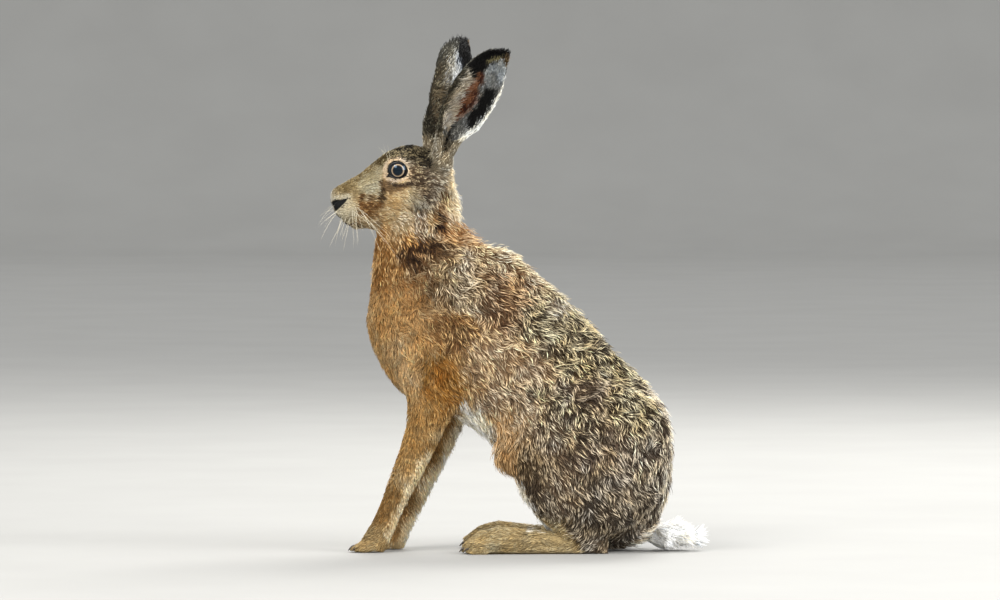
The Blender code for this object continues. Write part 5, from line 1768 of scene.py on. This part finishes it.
class Mouth:
    """The dark line between the lips, on both sides."""

    LINE = [(-173.5, 329.5), (-171, 326.6), (-168.5, 325.8), (-166, 327.0), (-163, 328.8), (-160, 328.4)]
    RADIUS = 0.6
    RAISE = 0.5
    SIDES = 8
    START_Y = 60.0

    def __init__(self, skin: Skin) -> None:
        for name, side in SIDES.items():
            places = []
            for x, z in self.LINE:
                start = Vector((x, side * self.START_Y, z)) * MM
                found, hit, _, _ = skin.obj.ray_cast(start, Vector((0, -side, 0)))
                if found:
                    places.append(hit / MM + Vector((0, side * self.RAISE, 0)))
            radii = [self.RADIUS * math.sin(math.pi * (index + 0.6) / (len(places) + 0.2)) for index in range(len(places))]
            obj = tube("lip_line_" + name, places, radii, self.SIDES)
            obj.data.materials.append(Finishes.lip_line())
            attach(obj, ROOT)


class Claws:
    """The claws of all four feet, short, curved and dark, half hidden in the fur."""

    FORE = {"middle_y": 24.0, "spread": 6.0, "front": -167.5, "step_back": 17.0}
    HIND = {"middle_y": 47.0, "spread": 8.4, "front": -56.5, "step_back": 0.0}
    COUNT = 4
    SET_BACK = 2.4
    SET_BACK_POWER = 1.6
    LENGTH = 7.6
    INSIDE = 4.5
    ROOT_HEIGHT = 6.0
    TIP_HEIGHT = 1.5
    RADII = (1.5, 1.4, 1.1, 0.65, 0.12)
    SIDES = 8

    def __init__(self) -> None:
        self.pieces = []
        for foot, sizes in (("fore", self.FORE), ("hind", self.HIND)):
            for name, side in SIDES.items():
                step = sizes["step_back"] if side == RIGHT else 0.0
                for index in range(self.COUNT):
                    offset = index - (self.COUNT - 1) / 2
                    x = sizes["front"] + step + abs(offset) ** self.SET_BACK_POWER * self.SET_BACK
                    y = side * (sizes["middle_y"] + offset * sizes["spread"])
                    self._claw(f"claw_{foot}_{name}_{index + 1}", x, y)

    def _claw(self, name: str, front: float, y: float) -> None:
        """One claw, whose root lies inside the toe."""
        places = []
        for index in range(len(self.RADII)):
            share = index / (len(self.RADII) - 1)
            z = self.ROOT_HEIGHT + (self.TIP_HEIGHT - self.ROOT_HEIGHT) * share
            z += 1.3 * math.sin(math.pi * share)
            places.append(Vector((front + self.INSIDE - self.LENGTH * share, y, z)))
        obj = tube(name, places, list(self.RADII), self.SIDES)
        obj.data.materials.append(Finishes.claw())
        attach(obj, ROOT)
        self.pieces.append(obj)


class Graph:
    """A material or node group that is built node by node."""

    def __init__(self, tree: bpy.types.NodeTree) -> None:
        self.tree = tree

    def node(self, kind: str, inputs: dict[object, object] | None = None, **settings: object) -> bpy.types.Node:
        """Adds a node, sets it up, and links or fills its inputs."""
        made = self.tree.nodes.new(kind)
        for name, value in settings.items():
            setattr(made, name, value)
        for key, value in (inputs or {}).items():
            if isinstance(value, bpy.types.NodeSocket):
                self.tree.links.new(value, made.inputs[key])
            else:
                made.inputs[key].default_value = value
        return made

    def maths(self, operation: str, first: object, second: object = 0.0) -> bpy.types.NodeSocket:
        """One sum of two numbers or sockets."""
        return self.node("ShaderNodeMath", {0: first, 1: second}, operation=operation).outputs[0]

    def ramp(self, value: bpy.types.NodeSocket, stops: list[tuple[float, Rgb]]) -> bpy.types.NodeSocket:
        """A colour that changes with a value, through the given stops."""
        made = self.node("ShaderNodeValToRGB", {0: value})
        elements = made.color_ramp.elements
        while len(elements) < len(stops):
            elements.new(1.0)
        for element, (place, colour) in zip(elements, stops):
            element.position = place
            linear = to_linear(np.array(colour))
            element.color = (*linear, 1.0)
        return made.outputs["Color"]


class Finishes:
    """The materials and what they share. Each is made once."""

    made: dict[str, bpy.types.Material] = {}

    @classmethod
    def _material(cls, name: str) -> tuple[bpy.types.Material, Graph, bpy.types.Node]:
        """A new material, its graph and its shader."""
        material = bpy.data.materials.new(name)
        material.use_nodes = True
        cls.made[name] = material
        shader = material.node_tree.nodes["Principled BSDF"]
        return material, Graph(material.node_tree), shader

    @classmethod
    def _hair_group(cls) -> bpy.types.NodeTree:
        """A shared group: fine hairs over a base colour, as a colour, a roughness and a normal."""
        found = bpy.data.node_groups.get("hair_detail")
        if found:
            return found
        group = bpy.data.node_groups.new("hair_detail", "ShaderNodeTree")
        face = group.interface
        face.new_socket("Colour", in_out="INPUT", socket_type="NodeSocketColor")
        for name, value in (("Scale", 900.0), ("Contrast", 0.3), ("Depth", 0.2)):
            face.new_socket(name, in_out="INPUT", socket_type="NodeSocketFloat").default_value = value
        face.new_socket("Colour", in_out="OUTPUT", socket_type="NodeSocketColor")
        face.new_socket("Roughness", in_out="OUTPUT", socket_type="NodeSocketFloat")
        face.new_socket("Normal", in_out="OUTPUT", socket_type="NodeSocketVector")
        graph = Graph(group)
        given = graph.node("NodeGroupInput").outputs
        place = graph.node("ShaderNodeTexCoord").outputs["Object"]
        fine = graph.node(
            "ShaderNodeTexNoise", {"Vector": place, "Scale": given["Scale"], "Detail": 3.0, "Roughness": 0.6}
        ).outputs["Fac"]
        stretched = graph.node("ShaderNodeMapping", {"Vector": place, "Scale": (1.0, 1.0, 0.32)}).outputs[0]
        broad = graph.node(
            "ShaderNodeTexNoise", {"Vector": stretched, "Scale": 160.0, "Detail": 2.0, "Roughness": 0.5}
        ).outputs["Fac"]
        both = graph.maths("ADD", graph.maths("MULTIPLY", fine, 0.65), graph.maths("MULTIPLY", broad, 0.35))
        swing = graph.maths("MULTIPLY", graph.maths("SUBTRACT", both, 0.5), given["Contrast"])
        factor = graph.maths("ADD", graph.maths("MULTIPLY", swing, 4.0), 1.0)
        colour = graph.node(
            "ShaderNodeVectorMath", {0: given["Colour"], "Scale": factor}, operation="SCALE"
        ).outputs["Vector"]
        rough = graph.maths("ADD", graph.maths("MULTIPLY", fine, 0.3), 0.5)
        normal = graph.node(
            "ShaderNodeBump", {"Height": fine, "Strength": given["Depth"], "Distance": 0.0006}
        ).outputs["Normal"]
        graph.node("NodeGroupOutput", {"Colour": colour, "Roughness": rough, "Normal": normal})
        return group

    @classmethod
    def _furry(cls, name: str, scale: float, contrast: float, depth: float) -> bpy.types.Material:
        """A finish that takes the coat's own colours and adds fine hairs."""
        if name in cls.made:
            return cls.made[name]
        material, graph, shader = cls._material(name)
        coat = graph.node("ShaderNodeAttribute", attribute_name=COAT_COLOUR).outputs["Color"]
        detail = graph.node(
            "ShaderNodeGroup",
            {},
            node_tree=cls._hair_group(),
        )
        graph.tree.links.new(coat, detail.inputs["Colour"])
        for key, value in (("Scale", scale), ("Contrast", contrast), ("Depth", depth)):
            detail.inputs[key].default_value = value
        graph.tree.links.new(detail.outputs["Colour"], shader.inputs["Base Color"])
        graph.tree.links.new(detail.outputs["Roughness"], shader.inputs["Roughness"])
        graph.tree.links.new(detail.outputs["Normal"], shader.inputs["Normal"])
        shader.inputs["Specular IOR Level"].default_value = 0.14
        shader.inputs["Sheen Weight"].default_value = 0.02
        shader.inputs["Sheen Roughness"].default_value = 0.4
        return material

    @classmethod
    def skin(cls) -> bpy.types.Material:
        """Short dense under-fur on the skin."""
        return cls._furry("under_fur", 1100.0, 0.30, 0.6)

    @classmethod
    def fur(cls) -> bpy.types.Material:
        """The outer coat."""
        return cls._furry("outer_fur", 1500.0, 0.22, 0.25)

    @classmethod
    def eye(cls) -> bpy.types.Material:
        """A wet eye: black pupil, thin buff iris with fine spokes, dark rim."""
        if "wet_eye" in cls.made:
            return cls.made["wet_eye"]
        material, graph, shader = cls._material("wet_eye")
        reach = graph.node("ShaderNodeAttribute", attribute_name="from_sight").outputs["Fac"]
        around = graph.node("ShaderNodeAttribute", attribute_name="around").outputs["Fac"]
        share = graph.maths("DIVIDE", reach, Eye.RADIUS)
        spokes_at = graph.node(
            "ShaderNodeCombineXYZ",
            {
                "X": graph.maths("SINE", graph.maths("MULTIPLY", around, math.tau)),
                "Y": graph.maths("COSINE", graph.maths("MULTIPLY", around, math.tau)),
                "Z": graph.maths("MULTIPLY", share, 0.5),
            },
        ).outputs[0]
        spokes = graph.node("ShaderNodeTexNoise", {"Vector": spokes_at, "Scale": 14.0, "Detail": 3.0}).outputs["Fac"]
        moved = graph.maths("ADD", share, graph.maths("MULTIPLY", graph.maths("SUBTRACT", spokes, 0.5), 0.035))
        stops = [
            (0.0, (0.02, 0.025, 0.035)),
            (0.41, (0.02, 0.02, 0.025)),
            (0.45, (0.20, 0.15, 0.10)),
            (0.50, (0.46, 0.38, 0.29)),
            (0.55, (0.68, 0.60, 0.48)),
            (0.59, (0.34, 0.26, 0.19)),
            (0.62, (0.02, 0.015, 0.012)),
        ]
        colour = graph.ramp(moved, stops)
        graph.tree.links.new(colour, shader.inputs["Base Color"])
        shader.inputs["Roughness"].default_value = 0.12
        shader.inputs["Specular IOR Level"].default_value = 0.42
        shader.inputs["Specular Tint"].default_value = (0.45, 0.72, 1.0, 1.0)
        return material

    @classmethod
    def _mottled(
        cls, name: str, dark: Rgb, light: Rgb, scale: float, roughness: float, bump: float
    ) -> bpy.types.Material:
        """A finish that varies between two colours, with a fine grain."""
        if name in cls.made:
            return cls.made[name]
        material, graph, shader = cls._material(name)
        place = graph.node("ShaderNodeTexCoord").outputs["Object"]
        noise = graph.node("ShaderNodeTexNoise", {"Vector": place, "Scale": scale, "Detail": 4.0}).outputs["Fac"]
        colour = graph.ramp(noise, [(0.3, dark), (0.7, light)])
        graph.tree.links.new(colour, shader.inputs["Base Color"])
        normal = graph.node("ShaderNodeBump", {"Height": noise, "Strength": bump, "Distance": 0.0003})
        graph.tree.links.new(normal.outputs["Normal"], shader.inputs["Normal"])
        shader.inputs["Roughness"].default_value = roughness
        return material

    @classmethod
    def wet_black(cls) -> bpy.types.Material:
        """The bare black edge of the lids."""
        return cls._mottled("wet_black", (0.03, 0.024, 0.02), (0.09, 0.07, 0.06), 900.0, 0.35, 0.3)

    @classmethod
    def lip_line(cls) -> bpy.types.Material:
        """The damp dark line of the mouth."""
        return cls._mottled("lip_line", (0.12, 0.08, 0.05), (0.24, 0.17, 0.12), 700.0, 0.5, 0.2)

    @classmethod
    def claw(cls) -> bpy.types.Material:
        """Horn of the claws."""
        return cls._mottled("claw_horn", (0.10, 0.08, 0.06), (0.30, 0.25, 0.20), 500.0, 0.4, 0.2)

    @classmethod
    def whisker(cls) -> bpy.types.Material:
        """Pale stiff hair."""
        return cls._mottled("whisker_hair", (0.86, 0.82, 0.70), (0.98, 0.95, 0.86), 300.0, 0.4, 0.0)

    @classmethod
    def floor(cls) -> bpy.types.Material:
        """The pale, matt studio floor."""
        return cls._mottled("studio_floor", (0.60, 0.60, 0.59), (0.615, 0.615, 0.605), 5.0, 0.85, 0.0)


class Studio:
    """The floor, the soft lights and the camera."""

    AIM = Vector((-0.018, 0.0, 0.251))
    DISTANCE = 8.0
    ELEVATION = 2.0
    SEEN_WIDTH = 1.0
    SENSOR = 36.0
    FLOOR_WIDTH = 30.0
    FLOOR_FRONT = -12.0
    FLOOR_BACK = 10.0
    BEND_RADIUS = 1.6
    WALL_HEIGHT = 2.0
    BEND_STEPS = 24
    WORLD = (0.91, 0.91, 0.91)
    WORLD_STRENGTH = 1.1

    def __init__(self) -> None:
        self._floor()
        self._light("key", (-1.7, -2.4, 2.6), 1.7, 120.0, (1.0, 0.97, 0.93))
        self._light("fill", (2.8, -1.3, 1.4), 2.2, 135.0, (0.99, 0.98, 0.97))
        self._light("back", (0.9, 2.0, 2.3), 1.6, 95.0, (1.0, 0.98, 0.95))
        self._sky()
        bpy.context.scene.view_settings.view_transform = "Standard"
        self.camera = self._camera()

    def _floor(self) -> None:
        """A floor that sweeps up into a wall behind the hare."""
        profile = [(self.FLOOR_FRONT, 0.0)]
        for step in range(self.BEND_STEPS + 1):
            angle = math.pi / 2 * step / self.BEND_STEPS
            y = self.FLOOR_BACK + self.BEND_RADIUS * math.sin(angle)
            profile.append((y, self.BEND_RADIUS * (1 - math.cos(angle))))
        profile.append((self.FLOOR_BACK + self.BEND_RADIUS, self.WALL_HEIGHT))
        form = bmesh.new()
        line = [form.verts.new((-self.FLOOR_WIDTH / 2, y, z)) for y, z in profile]
        edges = [form.edges.new(pair) for pair in zip(line, line[1:])]
        made = bmesh.ops.extrude_edge_only(form, edges=edges)
        moved = [item for item in made["geom"] if isinstance(item, bmesh.types.BMVert)]
        bmesh.ops.translate(form, verts=moved, vec=(self.FLOOR_WIDTH, 0, 0))
        bmesh.ops.recalc_face_normals(form, faces=form.faces[:])
        for face in form.faces:
            face.smooth = True
        mesh = bpy.data.meshes.new("floor")
        form.to_mesh(mesh)
        form.free()
        floor = add_object("floor", mesh)
        floor.data.materials.append(Finishes.floor())

    def _light(self, name: str, place: Triple, size: float, power: float, colour: Rgb) -> None:
        """A square soft light that shines on the middle of the hare."""
        data = bpy.data.lights.new(name, "AREA")
        data.size = size
        data.energy = power
        data.color = colour
        light = bpy.data.objects.new(name, data)
        light.location = place
        light.rotation_euler = (self.AIM - Vector(place)).to_track_quat("-Z", "Y").to_euler()
        bpy.context.scene.collection.objects.link(light)

    def _sky(self) -> None:
        """An even pale surround."""
        world = bpy.data.worlds.new("surround")
        world.use_nodes = True
        shader = world.node_tree.nodes["Background"]
        shader.inputs["Color"].default_value = (*self.WORLD, 1.0)
        shader.inputs["Strength"].default_value = self.WORLD_STRENGTH
        bpy.context.scene.world = world

    def _camera(self) -> bpy.types.Object:
        """A long lens at the photograph's angle."""
        data = bpy.data.cameras.new("camera")
        data.sensor_width = self.SENSOR
        data.lens = self.SENSOR * self.DISTANCE / self.SEEN_WIDTH
        data.clip_end = 50.0
        camera = bpy.data.objects.new("camera", data)
        tilt = math.radians(self.ELEVATION)
        back = Vector((0, -math.cos(tilt), math.sin(tilt)))
        camera.location = self.AIM + back * self.DISTANCE
        camera.rotation_euler = (-back).to_track_quat("-Z", "Y").to_euler()
        bpy.context.scene.collection.objects.link(camera)
        bpy.context.scene.camera = camera
        return camera


def main() -> None:
    """Dresses the hare and sets the stage."""
    logging.basicConfig(level=logging.INFO, format="%(message)s")
    pattern = Pattern()
    skin = Skin(pattern)
    LOG.info("skin: %d triangles", len(skin.obj.data.polygons))
    coat = Coat(skin, pattern)
    LOG.info("coat: %d tufts, %d triangles", coat.count, coat.triangles)
    for name, side in SIDES.items():
        Eye(name, side)
    Mouth(skin)
    Whiskers(skin)
    claws = Claws()
    LOG.info("claws: %d", len(claws.pieces))
    Studio()


if __name__ == "__main__":
    main()
